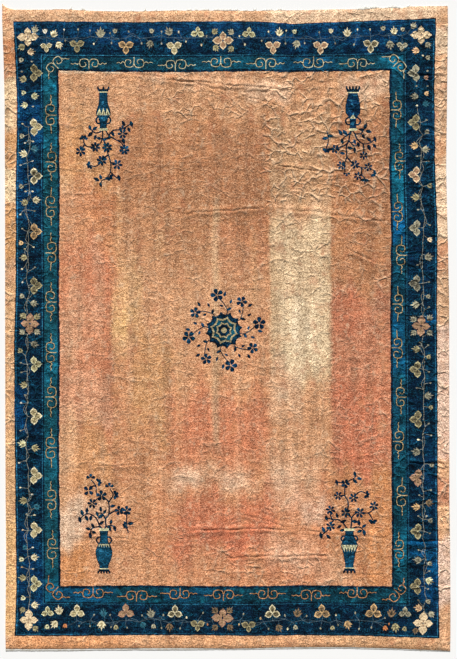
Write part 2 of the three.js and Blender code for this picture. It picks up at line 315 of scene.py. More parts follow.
def outline(step):
    # the rug's edge as one loop, counter-clockwise from the near left corner
    acrossSteps = np.linspace(-halfWidth, halfWidth, round(2 * halfWidth / step))
    alongSteps = np.linspace(-halfLength, halfLength, round(2 * halfLength / step))
    xs = np.concatenate([acrossSteps[:-1], np.full(len(alongSteps) - 1, halfWidth),
                         acrossSteps[:0:-1], np.full(len(alongSteps) - 1, -halfWidth)])
    ys = np.concatenate([np.full(len(acrossSteps) - 1, -halfLength), alongSteps[:-1],
                         np.full(len(acrossSteps) - 1, halfLength), alongSteps[:0:-1]])
    return np.column_stack(drawn(xs, ys))


def inset(loop, distance):
    # the loop moved inwards, square to itself
    ahead = np.roll(loop, -1, axis=0) - np.roll(loop, 1, axis=0)
    ahead /= np.linalg.norm(ahead, axis=1)[:, None]
    return loop + distance * np.column_stack([-ahead[:, 1], ahead[:, 0]])


# The yarns, by the zone of the pile whose wool they share.
zoneYarns = {
    "peach": {"peach": (207, 147, 105), "band": (226, 176, 134)},
    "navy": {
        "navy": (4, 27, 49), "ink": (6, 20, 38), "seamBlue": (44, 108, 140), "seamTeal": (40, 100, 125),
        "blue": (16, 54, 82), "vaseBlue": (14, 56, 80), "vaseNavy": (9, 44, 78), "vaseTeal": (20, 72, 98),
    },
    "teal": {"teal": (12, 62, 78)},
    "motif": {
        "vine": (138, 138, 124), "vineDim": (74, 96, 108), "scrollGrey": (196, 186, 150),
        "scrollGold": (184, 160, 114), "scrollRust": (190, 138, 90), "cream": (236, 224, 184),
        "sand": (176, 160, 120), "mint": (220, 218, 174), "moss": (172, 162, 120), "olive": (118, 108, 80),
        "bark": (62, 58, 48), "tan": (216, 178, 126), "brown": (136, 110, 80), "apricot": (236, 194, 144),
        "clay": (174, 132, 106), "orange": (220, 142, 88), "rust": (164, 88, 54), "shell": (234, 208, 168),
        "mauve": (172, 136, 106), "white": (230, 226, 208), "stone": (178, 172, 144),
        "slate": (150, 146, 124), "pewter": (96, 94, 82), "seaEdge": (40, 108, 128),
        "seaFill": (24, 78, 98),
    },
}
yarns = {name: (zone, colour) for zone, group in zoneYarns.items() for name, colour in group.items()}
yarnNames = list(yarns)
zones = list(zoneYarns)
# A motif's tone: its outline, its filling and the dark at its heart.
tones = {
    "cream": ("cream", "sand", "moss"), "creamDark": ("cream", "olive", "bark"),
    "mint": ("mint", "moss", "bark"), "olive": ("moss", "olive", "bark"), "tan": ("tan", "brown", "bark"),
    "brown": ("brown", "bark", "bark"), "peach": ("apricot", "clay", "brown"),
    "pink": ("shell", "mauve", "clay"), "rose": ("clay", "mauve", "brown"),
    "orange": ("orange", "rust", "rust"), "white": ("white", "cream", "sand"),
    "stone": ("stone", "slate", "bark"), "ash": ("slate", "pewter", "bark"),
    "teal": ("seaEdge", "seaFill", "navy"),
}

# The border's lines: place along the side, then where band, navy, teal and field meet.
borderLines = {
    "far": np.array([
        (-130, 187, 166, 157.5), (-100, 187, 165.5, 157), (-65, 186.5, 165.5, 156),
        (-20, 187, 165.5, 156), (20, 187, 166, 156.5), (40, 185.5, 165.5, 156),
        (75, 187, 166, 156.5), (105, 188, 167, 157), (128, 189, 167, 157),
    ]),
    "near": np.array([
        (-129, -188, -167.5, -157.5), (-95, -188, -167.5, -157.5), (-55, -187.5, -168, -157),
        (-20, -187.5, -168, -157.5), (20, -188, -168, -157.5), (45, -187.5, -167.5, -157),
        (85, -188, -168, -157.5), (130, -189.5, -169, -158),
    ]),
    "left": np.array([
        (-188, -129, -111, -101), (-155, -128, -111, -101), (-75, -129, -111.5, -102),
        (-10, -129.5, -111.5, -101.5), (25, -128.5, -111.5, -102), (85, -128.5, -112, -101.5),
        (135, -127.5, -112, -102), (187, -130, -112, -102.5),
    ]),
    "right": np.array([
        (-190, 130, 111, 101), (-110, 129, 110.5, 101), (-50, 129, 110, 100.5), (0, 128.5, 109.5, 100),
        (60, 129, 109.5, 100.5), (95, 127.5, 108.5, 99.5), (145, 127, 108.5, 99.5), (189, 128, 108.5, 100),
    ]),
}
inward = {"far": 180, "near": 0, "left": -90, "right": 90}  # the turn that points to the field

# Border motifs: kind, x, y and, where they aren't the usual ones, tone, turn from the field's
# direction and size. T trefoil, H its mate that points outwards, t small trefoil, R rosette,
# L leaf, F bud flower, which also points outwards, B bud.
borderMotifs = {"far": [
    ("R", -121.1, 177.5, "pink", 0, 1), ("L", -116.8, 182.1, "stone", 150, 0.85),
    ("L", -124.8, 171.3, "olive", -60, 0.85), ("F", -110.6, 181.1, "white"),
    ("L", -105.1, 179.4, "cream", 160), ("B", -98.9, 181.9, "white"), ("t", -109.8, 171.8, "cream"),
    ("L", -102, 172.5, "cream", 10), ("B", -98.2, 175.2), ("T", -91.1, 172.7, "olive"),
    ("B", -90.4, 182.1, "stone"), ("B", -83.2, 181.4), ("B", -80.8, 173.3, "cream"),
    ("L", -76.7, 179.9, "stone", 190, 1.15), ("B", -70.9, 179.9), ("F", -67.9, 181.2, "stone"),
    ("B", -70, 173.8), ("T", -61.2, 172, "tan"), ("B", -59.6, 180.8), ("B", -51.6, 173.6, "ash", 0, 1.1),
    ("L", -46.5, 173.1, "ash", 0, 0.95), ("F", -45.5, 181.2, "stone"), ("B", -39.5, 180.8),
    ("B", -39.5, 173.6, "white"), ("L", -35, 180.8, "ash", 200, 1), ("T", -31.8, 171.6, "cream"),
    ("B", -29, 180.5, "cream"), ("B", -24.6, 174.7, "cream"), ("H", -17.5, 180.1, "mint"), ("B", -12, 178),
    ("B", -15.1, 172.7, "pink", 0, 1.1), ("R", -2, 175.3, "pink", 0, 1), ("L", -7, 180.8, "olive", 135, 0.8),
    ("L", 2.9, 180.5, "stone", -135, 0.8), ("L", -6.3, 170.7, "olive", 45, 0.8),
    ("L", 2.9, 170.2, "olive", -45, 0.8), ("B", 8, 178, "cream"), ("H", 13.8, 179.9, "mint"),
    ("B", 11.4, 172.9, "cream", 0, 1.1), ("B", 21.6, 175.2, "stone"), ("B", 25.8, 180.8, "cream"),
    ("T", 28.5, 171.9, "pink"), ("L", 32.4, 180.3, "cream", 170, 0.95), ("B", 36.6, 181.4, "cream"),
    ("B", 36.1, 173.6), ("F", 41.6, 180.8, "mint"), ("L", 42.9, 173.1, "stone", -10, 0.95),
    ("B", 47.8, 173.8, "stone"), ("B", 56.8, 180.3), ("T", 57.6, 171.8, "pink"), ("F", 63.9, 181.2, "cream"),
    ("B", 66.5, 173.6), ("L", 73.8, 180.1, "cream", 180, 1), ("B", 80.1, 182.1, "cream"),
    ("B", 87.7, 182.1, "cream"), ("B", 77.9, 172.9, "stone"), ("T", 88.2, 172.7, "creamDark"),
    ("F", 95.7, 182.8, "stone"), ("L", 102.4, 181.2, "cream", 195), ("F", 107.6, 182.3, "stone"),
    ("L", 100, 172.7, "ash", 0, 0.95), ("t", 107.3, 172.2, "stone", 0, 0.9),
    ("L", 114.3, 184.3, "stone", 140, 0.8), ("R", 118.9, 178.7, "pink"),
], "left": [
    ("L", -119.1, 168.3, "pink", 20, 0.85), ("F", -125.2, 163.4, "stone"), ("B", -118.7, 162.5, "stone"),
    ("B", -124.8, 156.3, "stone"), ("T", -116.7, 155.5, "olive"), ("L", -124, 151.8, "olive", 160, 0.85),
    ("F", -123.7, 143.4, "mint"), ("L", -116.8, 141.4, "mint"), ("L", -123.1, 135.9, "mint", 190, 0.85),
    ("B", -118, 135.1, "stone"), ("B", -124.3, 124.5, "cream"), ("T", -116.7, 122.5, "cream"),
    ("F", -124.8, 117, "stone"), ("B", -122.9, 112.8, "white"), ("B", -118, 113.7, "cream"),
    ("L", -116.8, 109.1, "teal"), ("L", -123.7, 106.2, "cream", 170), ("B", -118.3, 101.8, "white"),
    ("B", -125.6, 99.2, "white"), ("T", -116.7, 92.6, "creamDark"), ("F", -125.2, 86.3, "stone"),
    ("B", -122.5, 83.2, "cream"), ("B", -118.2, 83.2, "cream"), ("L", -123.1, 76.6, "olive", 165),
    ("L", -115.9, 78, "cream", 10), ("B", -125.6, 69.1, "cream"), ("B", -117, 71.3),
    ("B", -124.5, 60.5, "stone"), ("T", -116.7, 58.8, "tan"), ("F", -125.3, 51.8, "tan"),
    ("B", -123, 48.1, "cream"), ("B", -117.6, 49.3, "cream"), ("L", -123.6, 42.9, "olive", 175, 0.85),
    ("B", -124.7, 35.9, "cream"), ("B", -116.7, 36.9), ("B", -124.4, 27.8, "white"),
    ("T", -116.7, 25.8, "olive"), ("F", -124.7, 19.4, "stone"), ("L", -117.3, 14.9, "stone"),
    ("R", -119.8, 2.5, "rose"), ("L", -124, 7.2, "olive", -135, 0.8), ("L", -115.4, 6.9, "olive", 45, 0.8),
    ("L", -124.6, -2.5, "stone", 135, 0.8), ("L", -115.4, -2.5, "stone", -45, 0.8), ("L", -117, -10),
    ("F", -125.8, -13.9, "olive"), ("B", -125.4, -21.4), ("T", -116.7, -22.2, "mint"), ("B", -125.1, -27.2),
    ("L", -123.6, -34.9, "olive", 180), ("B", -122.8, -41), ("B", -125.2, -45.8, "white", 0, 1.1),
    ("T", -116.7, -53.9, "cream"), ("B", -125.6, -62.7), ("L", -124.5, -70.7, "mint", 165),
    ("L", -116.5, -73.3, "olive"), ("B", -126.4, -82.4, "white"), ("T", -116.7, -90.1, "cream"),
    ("B", -125.7, -97.4, "cream"), ("B", -118.5, -101.6, "white"), ("L", -123.8, -105.4, "olive", 180, 0.95),
    ("L", -115.4, -109.2, "teal", 0, 0.85), ("B", -121.8, -113.7), ("B", -117, -114.2, "cream"),
    ("B", -124.2, -123.3, "pink"), ("T", -116.7, -123.3, "cream"), ("F", -123, -133.9, "teal"),
    ("B", -118.1, -133.9, "white"), ("L", -117, -140, "cream"), ("F", -125, -141.2, "mint"),
    ("B", -124.7, -145.9, "tan"), ("B", -117.9, -147.1, "stone"), ("L", -124.3, -152.6, "olive", 180),
    ("T", -116.7, -156.1, "mint"), ("F", -124, -164.8, "mint"), ("L", -116.7, -169.1, "cream", 20),
    ("R", -120.5, -178.2, "pink"), ("L", -124.3, -172.1, "olive", -120, 0.75),
    ("L", -116.4, -183.5, "olive", -45, 0.75),
], "right": [
    ("L", 115.6, 169.1, "peach", -20, 0.85), ("L", 123.1, 172.5, "ash", 120, 0.8),
    ("F", 123.1, 164.9, "stone"), ("B", 120, 166.1, "cream"), ("B", 122.8, 156.8, "stone"),
    ("T", 115.1, 155.5, "stone"), ("F", 122, 152.7, "rose"), ("B", 116.1, 147.5), ("B", 122.8, 147.5),
    ("F", 122.2, 143, "peach"), ("L", 115, 141.2), ("L", 121.8, 136.8, "teal", 180, 0.85),
    ("B", 116.4, 135.7, "cream"), ("B", 122.2, 126.8), ("T", 115.1, 125.3, "olive"), ("F", 122.6, 119.7),
    ("L", 114.7, 111.1, "tan"), ("L", 121.8, 108.9, "stone", 180), ("B", 116.4, 104.8), ("B", 123.6, 101.8),
    ("T", 115.4, 93.5, "pink"), ("F", 124.2, 86.7, "olive"), ("L", 115.4, 79.7, "olive", 0, 0.95),
    ("B", 117, 72.1), ("B", 124.2, 62.7, "stone"), ("T", 115.7, 60.9, "stone"), ("F", 124.3, 53.8, "pink"),
    ("L", 123.5, 43.2, "ash", 180, 0.95), ("B", 116.7, 38.3), ("B", 123.7, 28), ("T", 115.7, 27.2),
    ("F", 123.3, 19.2), ("L", 115.4, 14.2, "stone"), ("B", 123.7, 12.7), ("R", 118.9, 1.1, "rose"),
    ("L", 114.2, 5.4, "ash", -45, 0.8), ("L", 124.2, 6.1, "ash", -135, 0.8),
    ("L", 114.3, -3.1, "ash", 45, 0.8), ("L", 124.1, -3.1, "ash", 135, 0.8), ("B", 118, -8.8),
    ("B", 123.3, -10.5), ("L", 115.9, -13, "olive"), ("F", 123.5, -17.7, "olive"),
    ("T", 116.1, -25.3, "olive"), ("B", 123.7, -26.9), ("B", 124.5, -33.6), ("B", 116.3, -36.6),
    ("L", 123.3, -41.4, "ash", 180, 0.95), ("F", 124.9, -48.6, "olive"), ("T", 116.4, -55.8, "olive"),
    ("B", 123.6, -58.4), ("B", 125, -65.6), ("B", 117.2, -68.2, "cream", 0, 1.2),
    ("L", 115.9, -75.7, "ash", 0, 0.95), ("F", 125.5, -83.7), ("T", 116.4, -91.5, "rose"),
    ("B", 124.8, -98.9), ("B", 117.8, -102.1), ("L", 123.9, -106.8, "brown", 180),
    ("L", 115.9, -109.3, "tan"), ("B", 117.3, -114.8), ("B", 122.2, -114.8), ("F", 124.6, -117.6),
    ("T", 116.4, -124.2, "olive"), ("B", 124.3, -125.4), ("B", 117.6, -135.5, "stone", 0, 1.2),
    ("L", 116.7, -141.6), ("F", 124.3, -143.7, "stone"), ("B", 123.9, -148.3, "stone"),
    ("L", 123.9, -154.3, "mint", 165), ("T", 116.1, -157.7, "olive"), ("B", 123.1, -159.3),
    ("B", 117.2, -166.2), ("F", 123.3, -167, "stone"), ("L", 117.2, -170.9, "peach", 0, 0.95),
    ("R", 120.1, -180.2, "pink"), ("L", 125.2, -174.7, "stone", 110, 0.8),
    ("L", 115.4, -184.8, "brown", 70, 0.75),
], "near": [
    ("t", -109, -173.8, "mint"), ("L", -102, -172.4, "cream", 5, 1), ("T", -91, -173.6, "cream"),
    ("F", -109.3, -182.5, "mint"), ("L", -104.8, -180.8, "cream", 150, 1),
    ("F", -98.4, -181.9, "orange", 180, 0.9), ("B", -89.8, -181.9), ("B", -83.1, -181.9),
    ("B", -80.7, -175.2), ("L", -74.9, -173.9, "teal"), ("L", -76.1, -181.3, "cream", 185, 1.1),
    ("B", -70.9, -175.2), ("F", -67.3, -182.8, "olive"), ("B", -70.3, -182.5), ("T", -61.2, -173.6, "rose"),
    ("B", -60.5, -183.1), ("B", -51.4, -175.5), ("L", -45.9, -174.2, "ash", 0, 1),
    ("F", -44.4, -182.2, "stone"), ("L", -50.8, -181.3, "teal", 200, 0.8), ("B", -39.5, -183.1),
    ("L", -34.6, -182.5, "brown", 190, 0.95), ("B", -38.3, -175.2), ("T", -31.3, -173.9, "creamDark"),
    ("B", -28.2, -183.4), ("B", -24.2, -176.7, "cream", 0, 1.1), ("H", -17.5, -181.3, "olive"),
    ("B", -14.2, -173.9, "stone"), ("B", -11.4, -181, "orange"), ("R", -2.3, -177, "rose"),
    ("L", -6.9, -172.4, "brown", 45, 0.8), ("L", 2, -172.4, "brown", -45, 0.8),
    ("L", -6.9, -182.8, "brown", 135, 0.8), ("L", 2.3, -182.8, "brown", -135, 0.8), ("B", 7.8, -181, "tan"),
    ("B", 10.5, -174.6), ("H", 13.6, -181.9, "olive"), ("B", 20.9, -177.3, "tan", 0, 1.2),
    ("B", 25.8, -183.7), ("T", 28.2, -173.9, "creamDark"), ("B", 35.8, -175.5, "stone", 0, 1.1),
    ("L", 32.2, -183.1, "brown", 200, 0.85), ("B", 37.4, -183.7, "cream", 0, 1.2),
    ("L", 43.5, -173.9, "brown", -10, 1), ("F", 42.2, -182.8, "stone"), ("B", 49, -175.8),
    ("T", 58.4, -173.9, "tan"), ("B", 57.5, -183.4, "stone"), ("F", 64.8, -183.1, "olive"),
    ("B", 66.9, -175.2, "cream"), ("B", 68.2, -181.3), ("L", 74.1, -181.1, "tan", 200, 1.05),
    ("B", 78.7, -173.9, "stone"), ("B", 81, -183.7, "stone"), ("T", 89.8, -173.6, "tan", 0, 1.05),
    ("B", 88.6, -182.8), ("L", 100.8, -173.9, "brown", 0, 1), ("F", 97, -183.3, "orange", 180, 1.05),
    ("B", 99.3, -180.7, "orange"), ("L", 103.2, -182.8, "olive", 195, 1),
    ("t", 109, -174.2, "stone", 0, 1.05), ("F", 108.7, -183.7, "olive", 180, 0.95), ("B", 96.8, -177),
]}

# Guard scrolls: x, y, turn of the stem from +y.
guardScrolls = {
    "scrollGrey": [
        (-83.7, 161.2, 180), (-56.3, 161.8, 0), (-31, 160.3, 180), (-3.4, 162.3, 0), (24.2, 161.3, 180),
        (53.2, 162, 0), (80.1, 161.3, 180), (-104.7, 160.6, -135), (104.2, 161.6, 135),
    ],
    "scrollGold": [
        (-107, 129.8, -90), (-106.8, 101.2, 90), (-106.9, 73.7, -90), (-106.9, 45.7, 90),
        (-106.9, 15.8, -90), (-106.9, -15, -90), (-106.9, -42.2, 90), (-106.8, -73, -90),
        (-106.9, -105, 90), (-106, -134.4, -90), (103.8, 132.9, 90), (105.8, 101.8, -90), (104.5, 70.9, 90),
        (106.9, 44.3, -90), (104.8, 14.5, 90), (104.3, -12.2, 90), (106.6, -42.2, -90), (105.1, -69.4, 90),
        (107.2, -102.2, -90), (105.3, -135.1, 90),
    ],
    "scrollRust": [
        (-81.3, -161.5, 0), (-54.7, -163.7, 180), (-28.2, -162.1, 0), (-1.7, -163.1, 180),
        (25.5, -162.2, 0), (52, -163.2, 180), (79.8, -161.6, 0), (104.5, -161.5, 45), (-104.8, -160.3, -45),
    ],
}

# Flower sprays of the field's corners, each from the mouth of its vase: stems, flowers (x, y,
# petals, size), flowers seen from the side (x, y, petals, size, turn) and leaves.
sprays = [
    {
        "mouth": (-75, 121),
        "stems": [
            [(-0.4, 1.4), (-0.5, -4.2), (-1.6, -8.2), (-4.5, -10.7)],
            [(-0.4, -5.2), (0.8, -7.9), (2.4, -11), (2.7, -14.3), (4.5, -20.4), (4.2, -26.4), (1.6, -30),
             (-0.9, -31.2), (-1.5, -33.3)],
            [(0.9, 0.9), (3.4, -3.7), (8.5, -6.7), (11.5, -8.7), (12.8, -12.3)],
            [(3.5, -3.4), (6, -0.6), (10.5, -0.1), (13.5, 1.4), (16.6, 3.3)],
            [(-1.1, -1.2), (-4.1, -2.1), (-6.2, -1.4), (-8.2, 1.2)],
            [(-4.9, -10.7), (-9.7, -10.5), (-11.8, -8.2), (-12, -5.9)], [(-11.5, -9.2), (-13.8, -13.3)],
            [(2.7, -15.6), (-0.9, -18.9), (-2.6, -21.4), (-5.7, -22.6), (-7.9, -21.6)],
            [(4.5, -20.4), (6.2, -20.4), (8.5, -21.4)],
            [(4.3, -25.9), (6, -27.5), (8.5, -29.7), (9.5, -29.5)], [(8.4, -6.7), (12.3, -7)],
        ],
        "flowers": [
            (-13.8, -13.3, 6, 1.1), (-4.9, -10.7, 7, 1.05), (2.4, -11, 7, 1.1), (11.8, -2.6, 6, 1.05),
            (12.8, -12.3, 7, 1.1), (-0.9, -18.9, 7, 1.1), (8.5, -21.4, 6, 1.1),
        ],
        "halves": [
            (-12, -5.9, 4, 0.9, 90), (-7.9, -21.6, 4, 0.85, 200), (3.4, -28.7, 4, 0.9, -60),
            (11.8, 0.2, 3, 0.8, 90),
        ],
        "leaves": [
            (-8.2, 1.2), (-5.2, 0.6), (-7.9, -2.9), (-4.9, -4.7), (12.3, 3.7), (17.1, 3.4), (15.6, -0.1),
            (5.7, -2.6), (3.4, -5), (1.2, -5.9), (-2.6, -5.4), (12.3, -7), (9.5, -29.5), (-4.1, -30.5),
            (-1.6, -29), (-1.6, -33.7),
        ],
    },
    {
        "mouth": (76, 120),
        "stems": [
            [(0.2, -1.1), (-4.3, -3.9), (-5.4, -6)],
            [(-0.8, -2.7), (-1.3, -5.7), (-3.1, -8.2), (-9.6, -11), (-14.7, -10.8), (-13.9, -7.2),
             (-13.9, -2.7), (-14.7, 0.1)],
            [(-1.6, -6.6), (-2.8, -9.7), (-2.5, -15.3), (-3.8, -19.4), (-5.8, -20.9)],
            [(-2.5, -15.8), (1.3, -19.9), (2.5, -20.4), (7.3, -22.4), (10.6, -21.9)],
            [(6.6, -22.2), (6.8, -26.9), (8.3, -28.5), (8.6, -32.7)],
            [(2.3, -1.1), (3.8, -4.7), (7.3, -7.7), (11.4, -7.2), (14.7, -4.9)],
            [(7.5, -7.7), (8.1, -12.8)], [(2.9, -1.8), (6.3, -1.4), (7.7, 0.7)],
            [(-1.2, -5.7), (0.2, -7.2), (2.3, -6.4)], [(0.4, -7.5), (2.1, -9.1), (4.6, -8.2)],
            [(-3.9, -19.7), (-3.6, -24.9)], [(0.7, 0.7), (-1.4, -1.8), (-4.3, -3.9)],
            [(0.7, 0.7), (-0.5, -2.1), (-1.2, -5.7)], [(1.1, 0.7), (2.3, -1.4), (3.8, -1.8)],
        ],
        "flowers": [
            (-9.6, -11, 6, 0.95), (7.8, -14.8, 6, 0.9), (-5.8, -20.9, 6, 0.95), (2.5, -20.4, 6, 0.95),
            (10.6, -21.9, 6, 0.9), (4.3, -27.4, 6, 0.9),
        ],
        "halves": [(-14.7, -10.8, 4, 0.9, -90), (13.4, -25.7, 4, 0.8, -30), (-2.6, -25.4, 3, 0.75, -90)],
        "leaves": [
            (-15.7, -4.4), (-12.4, -2.9), (-6.3, -0.9), (-3.6, -0.9), (-5.3, -6.2), (6.6, 0.9), (8.8, 2.9),
            (10.8, -0.2), (7.6, -3.2), (11.1, -5.2), (14.7, -4.9), (14.4, -9), (11.1, -10), (2.3, -6.4),
            (4.6, -8.2), (2.3, -11.5), (-0.5, -10.3), (-5.1, -13.5), (7.3, -29.8), (9.6, -30),
        ],
    },
    {
        "mouth": (-75, -124),
        "stems": [
            [(0.4, 0.9), (1.6, 2.9), (1.4, 7.5), (3.4, 10.5), (3.2, 17.6), (0.4, 20.6), (-1.1, 21.6),
             (-4.1, 22.9), (-4.6, 27.7), (-7.4, 31.2)],
            [(3.2, 17.5), (6, 22.1), (4, 25.7)], [(-4.6, 27.5), (-7.2, 27.2), (-9, 24.7)],
            [(-1.4, 21.1), (-4.5, 19), (-6.7, 16.8)],
            [(3.1, 10.1), (7.5, 12.5), (9.8, 12.5), (14.3, 12.5), (14.3, 10), (14.3, 2.9), (15.3, -1.1)],
            [(1.4, 7.5), (-1.1, 11), (-3.7, 10.5)],
            [(0.1, 0.7), (-2.1, 2.9), (-4.1, 7.5), (-7.2, 10), (-10.2, 10.5), (-13.2, 8.5), (-14.3, 7)],
            [(-2.1, 2.8), (-5.7, 2.2), (-7.4, 0.9), (-7.9, -2.7)], [(1.5, 2.8), (5.4, 3.4), (7, 1.7)],
        ],
        "flowers": [
            (-9, 24.7, 4, 1.15), (-1.1, 21.6, 5, 1.15), (-6.7, 16.8, 6, 1.05), (9.8, 12.5, 5, 1),
            (14.3, 12.5, 5, 1),
        ],
        "halves": [
            (-7.7, 32.2, 3, 0.95, 90), (-3.4, 29.7, 4, 0.85, 20), (3.7, 26.9, 3, 0.95, 90),
            (6.7, 22.1, 4, 0.95, 0), (14, 3.7, 4, 0.8, 200),
        ],
        "leaves": [
            (-14.3, 7), (-13, 11.2), (-10, 12.5), (-10.2, 7.9), (-7.7, 7.9), (-3.7, 10.5), (-1.6, 13.3),
            (0.9, 11.8), (-1.6, 9), (5.7, 15.3), (-1.1, 5), (-6.4, 3.2), (-9.2, 1.4), (-5.7, -0.7),
            (-7.9, -2.7), (4.7, 5.4), (3.7, 1.7), (7, 1.7), (16.6, 4.7),
        ],
    },
    {
        "mouth": (75, -124),
        "stems": [
            [(0.7, 0.4), (1.5, 5), (1.7, 8.5), (4.3, 11), (6.5, 11.2), (11.8, 11.2), (14.9, 13.5),
             (15.1, 15.3)],
            [(11.8, 11.1), (13.9, 7.9), (14.4, 6.7)],
            [(1.7, 8), (-0.4, 9.8), (-2.1, 11.2), (-0.8, 14), (-0.8, 18.6), (-2.6, 21.6), (-2.6, 27.2),
             (-2.3, 28.9), (0.7, 31.2), (3.3, 32.5), (3.5, 34.8)],
            [(-2.6, 21.7), (-6.6, 21.6)], [(2.7, 20.3), (4.8, 22.9), (7.3, 24.2), (10.1, 23)],
            [(-0.8, 0.4), (-3.3, 4.4), (-6.8, 7), (-9.9, 7), (-11.4, 10), (-11.4, 12.8)],
            [(-9.6, 6.8), (-10.8, 5), (-11.4, 2.9), (-13.9, -0.1), (-17.2, -2.7)],
            [(1.7, 1.6), (4.8, 2.4), (7.6, 1.9), (9.1, -0.9)], [(-2.3, 28.9), (-5, 29.6), (-7.6, 29.7)],
            [(-9.9, 7.1), (-13.9, 7.9)],
        ],
        "flowers": [
            (-2.3, 28.9, 5, 0.95), (-6.6, 21.6, 6, 0.95), (2.7, 20.3, 6, 1), (-11.4, 12.8, 6, 1),
            (-2.1, 11.2, 6, 1.05), (6.5, 11.2, 6, 1.1), (-11.4, 2.9, 6, 1), (15.1, 15.3, 6, 1),
        ],
        "halves": [(10.1, 22.4, 4, 0.85, -20), (14.4, 6.7, 4, 0.9, -90)],
        "leaves": [
            (-7.6, 29.7), (3.5, 34.8), (6.3, 32), (3.5, 30.5), (-13.9, 7.9), (-7.4, 9.5), (-3.5, 5.9),
            (-6.1, 2.6), (-4.1, 0.6), (3.5, 5.9), (6, 5), (9.1, 3.1), (6.3, -0.1), (9.1, -0.9),
            (-15.7, 0.9), (-17.2, -2.7), (-12.7, -3.4),
        ],
    },
]

# Vases: x, y of the foot, +1 upright or -1 foot to the far end, half widths up the body (height,
# half width), the collar's foot and top, its teeth, prongs of the foot, the handles' foot, top
# and reach, the body's yarn and how many flecks it has.
vases = [
    (-75, 147.2, -1, [(3.4, 2.5), (3.9, 2.6), (7.3, 2.6), (10.7, 2.9), (13.2, 3.8), (15.7, 4.5),
     (17.4, 4.5), (18.3, 3.7), (19.5, 2.9), (22.6, 2.2), (25, 2.2), (25.9, 2.4)],
     (13.1, 17.4), 3, 3, (18.3, 22.6, 4.4), "vaseBlue", 2),
    (77.3, 147.5, -1, [(4, 3.2), (4.9, 3), (7.6, 3.7), (11.6, 4.5), (14.3, 4.6), (16.5, 4.5), (17.7, 3.5),
     (19.5, 2.1), (22.6, 2), (25, 2), (26.2, 2.4)],
     (17.4, 19.8), 1, 5, (19.2, 23.5, 4.5), "vaseNavy", 7),
    (-74.6, -149.9, 1, [(3, 2.7), (3.7, 2.8), (5.5, 3), (7.6, 4), (10.7, 5), (13.7, 5.2), (16.2, 4.4),
     (18.6, 3), (20.1, 2.6), (22.6, 2.3), (25.3, 2.6), (26.5, 2.7)],
     (15.9, 18), 5, 5, (18.3, 22.3, 4.5), "vaseTeal", 3),
    (75.1, -149.9, 1, [(3.5, 2.6), (5.5, 2.6), (9.2, 3.3), (12.8, 3.8), (15.6, 4.8), (17.4, 5.2),
     (18, 4.9), (19.2, 4.6), (21.3, 3.7), (22.9, 2.7), (25, 2.6), (26.5, 2.9)],
     (13.1, 17.4), 5, 4, (19.5, 22.9, 5), "vaseBlue", 2),
]

shapes = []  # every drawn shape: its points and its yarn, in the order in which they cover each other


def draw(points, yarn):
    # every shape runs counter-clockwise, so that its inside is on its left
    points = np.asarray(points, float)
    ahead = np.roll(points, -1, axis=0)
    if (points[:, 0] * ahead[:, 1] - ahead[:, 0] * points[:, 1]).sum() < 0:
        points = points[::-1]
    shapes.append((points, yarnNames.index(yarn)))


def placed(points, x, y, turn, size):
    points = np.asarray(points, float) * size
    turn = math.radians(turn)
    c, s = math.cos(turn), math.sin(turn)
    return np.column_stack([x + c * points[:, 0] - s * points[:, 1],
                            y + s * points[:, 0] + c * points[:, 1]])


def mirrored(half):
    # closes an outline given from its foot up its right side to its tip
    half = np.asarray(half, float)
    back = half[::-1] * (-1, 1)
    return np.concatenate([half, back[np.abs(back[:, 0]) > 1e-6]])


def curveThrough(points, step):
    # a smooth line through the points, by Catmull and Rom, cut into steps
    points = np.asarray(points, float)
    longer = np.concatenate([[2 * points[0] - points[1]], points, [2 * points[-1] - points[-2]]])
    line = []
    for i in range(1, len(longer) - 2):
        a, b, c, d = longer[i - 1:i + 3]
        count = max(1, round(np.linalg.norm(c - b) / step))
        for t in np.arange(count) / count:
            line.append(0.5 * (2 * b + (c - a) * t + (2 * a - 5 * b + 4 * c - d) * t * t
                               + (3 * b - a - 3 * c + d) * t ** 3))
    line.append(points[-1])
    return np.array(line)


def convex(points):
    ahead = np.roll(points, -1, axis=0) - points
    after = np.roll(ahead, -1, axis=0)
    return bool(np.all(ahead[:, 0] * after[:, 1] - ahead[:, 1] * after[:, 0] > 1e-4))


def stroke(line, width, yarn, taper=1.0):
    # a narrow band along a line, each step its own four-sided shape
    line = np.asarray(line, float)
    ahead = np.gradient(line, axis=0)
    ahead /= np.maximum(np.linalg.norm(ahead, axis=1), 1e-9)[:, None]
    widths = width / 2 * np.linspace(1, taper, len(line))[:, None]
    side = np.column_stack([-ahead[:, 1], ahead[:, 0]]) * widths
    left, right = line + side, line - side
    for i in range(len(line) - 1):
        step = np.array([right[i], right[i + 1], left[i + 1], left[i]])
        if not convex(step):
            # where the line turns sharply, a plain box stands in
            run = line[i + 1] - line[i]
            reach = np.array([-run[1], run[0]]) / max(np.linalg.norm(run), 1e-9) * widths[i]
            step = np.array([line[i] - reach, line[i + 1] - reach, line[i + 1] + reach, line[i] + reach])
        if convex(step):
            draw(step, yarn)


fieldward = {"far": -1, "near": 1, "left": 1, "right": -1}  # which way the field lies, across a side
bandStep = 2.4  # centimetres between the points of a border line


def sideLine(side, line, places, offset=0):
    table = borderLines[side]
    return np.interp(places, table[:, 0], table[:, line]) + fieldward[side] * offset


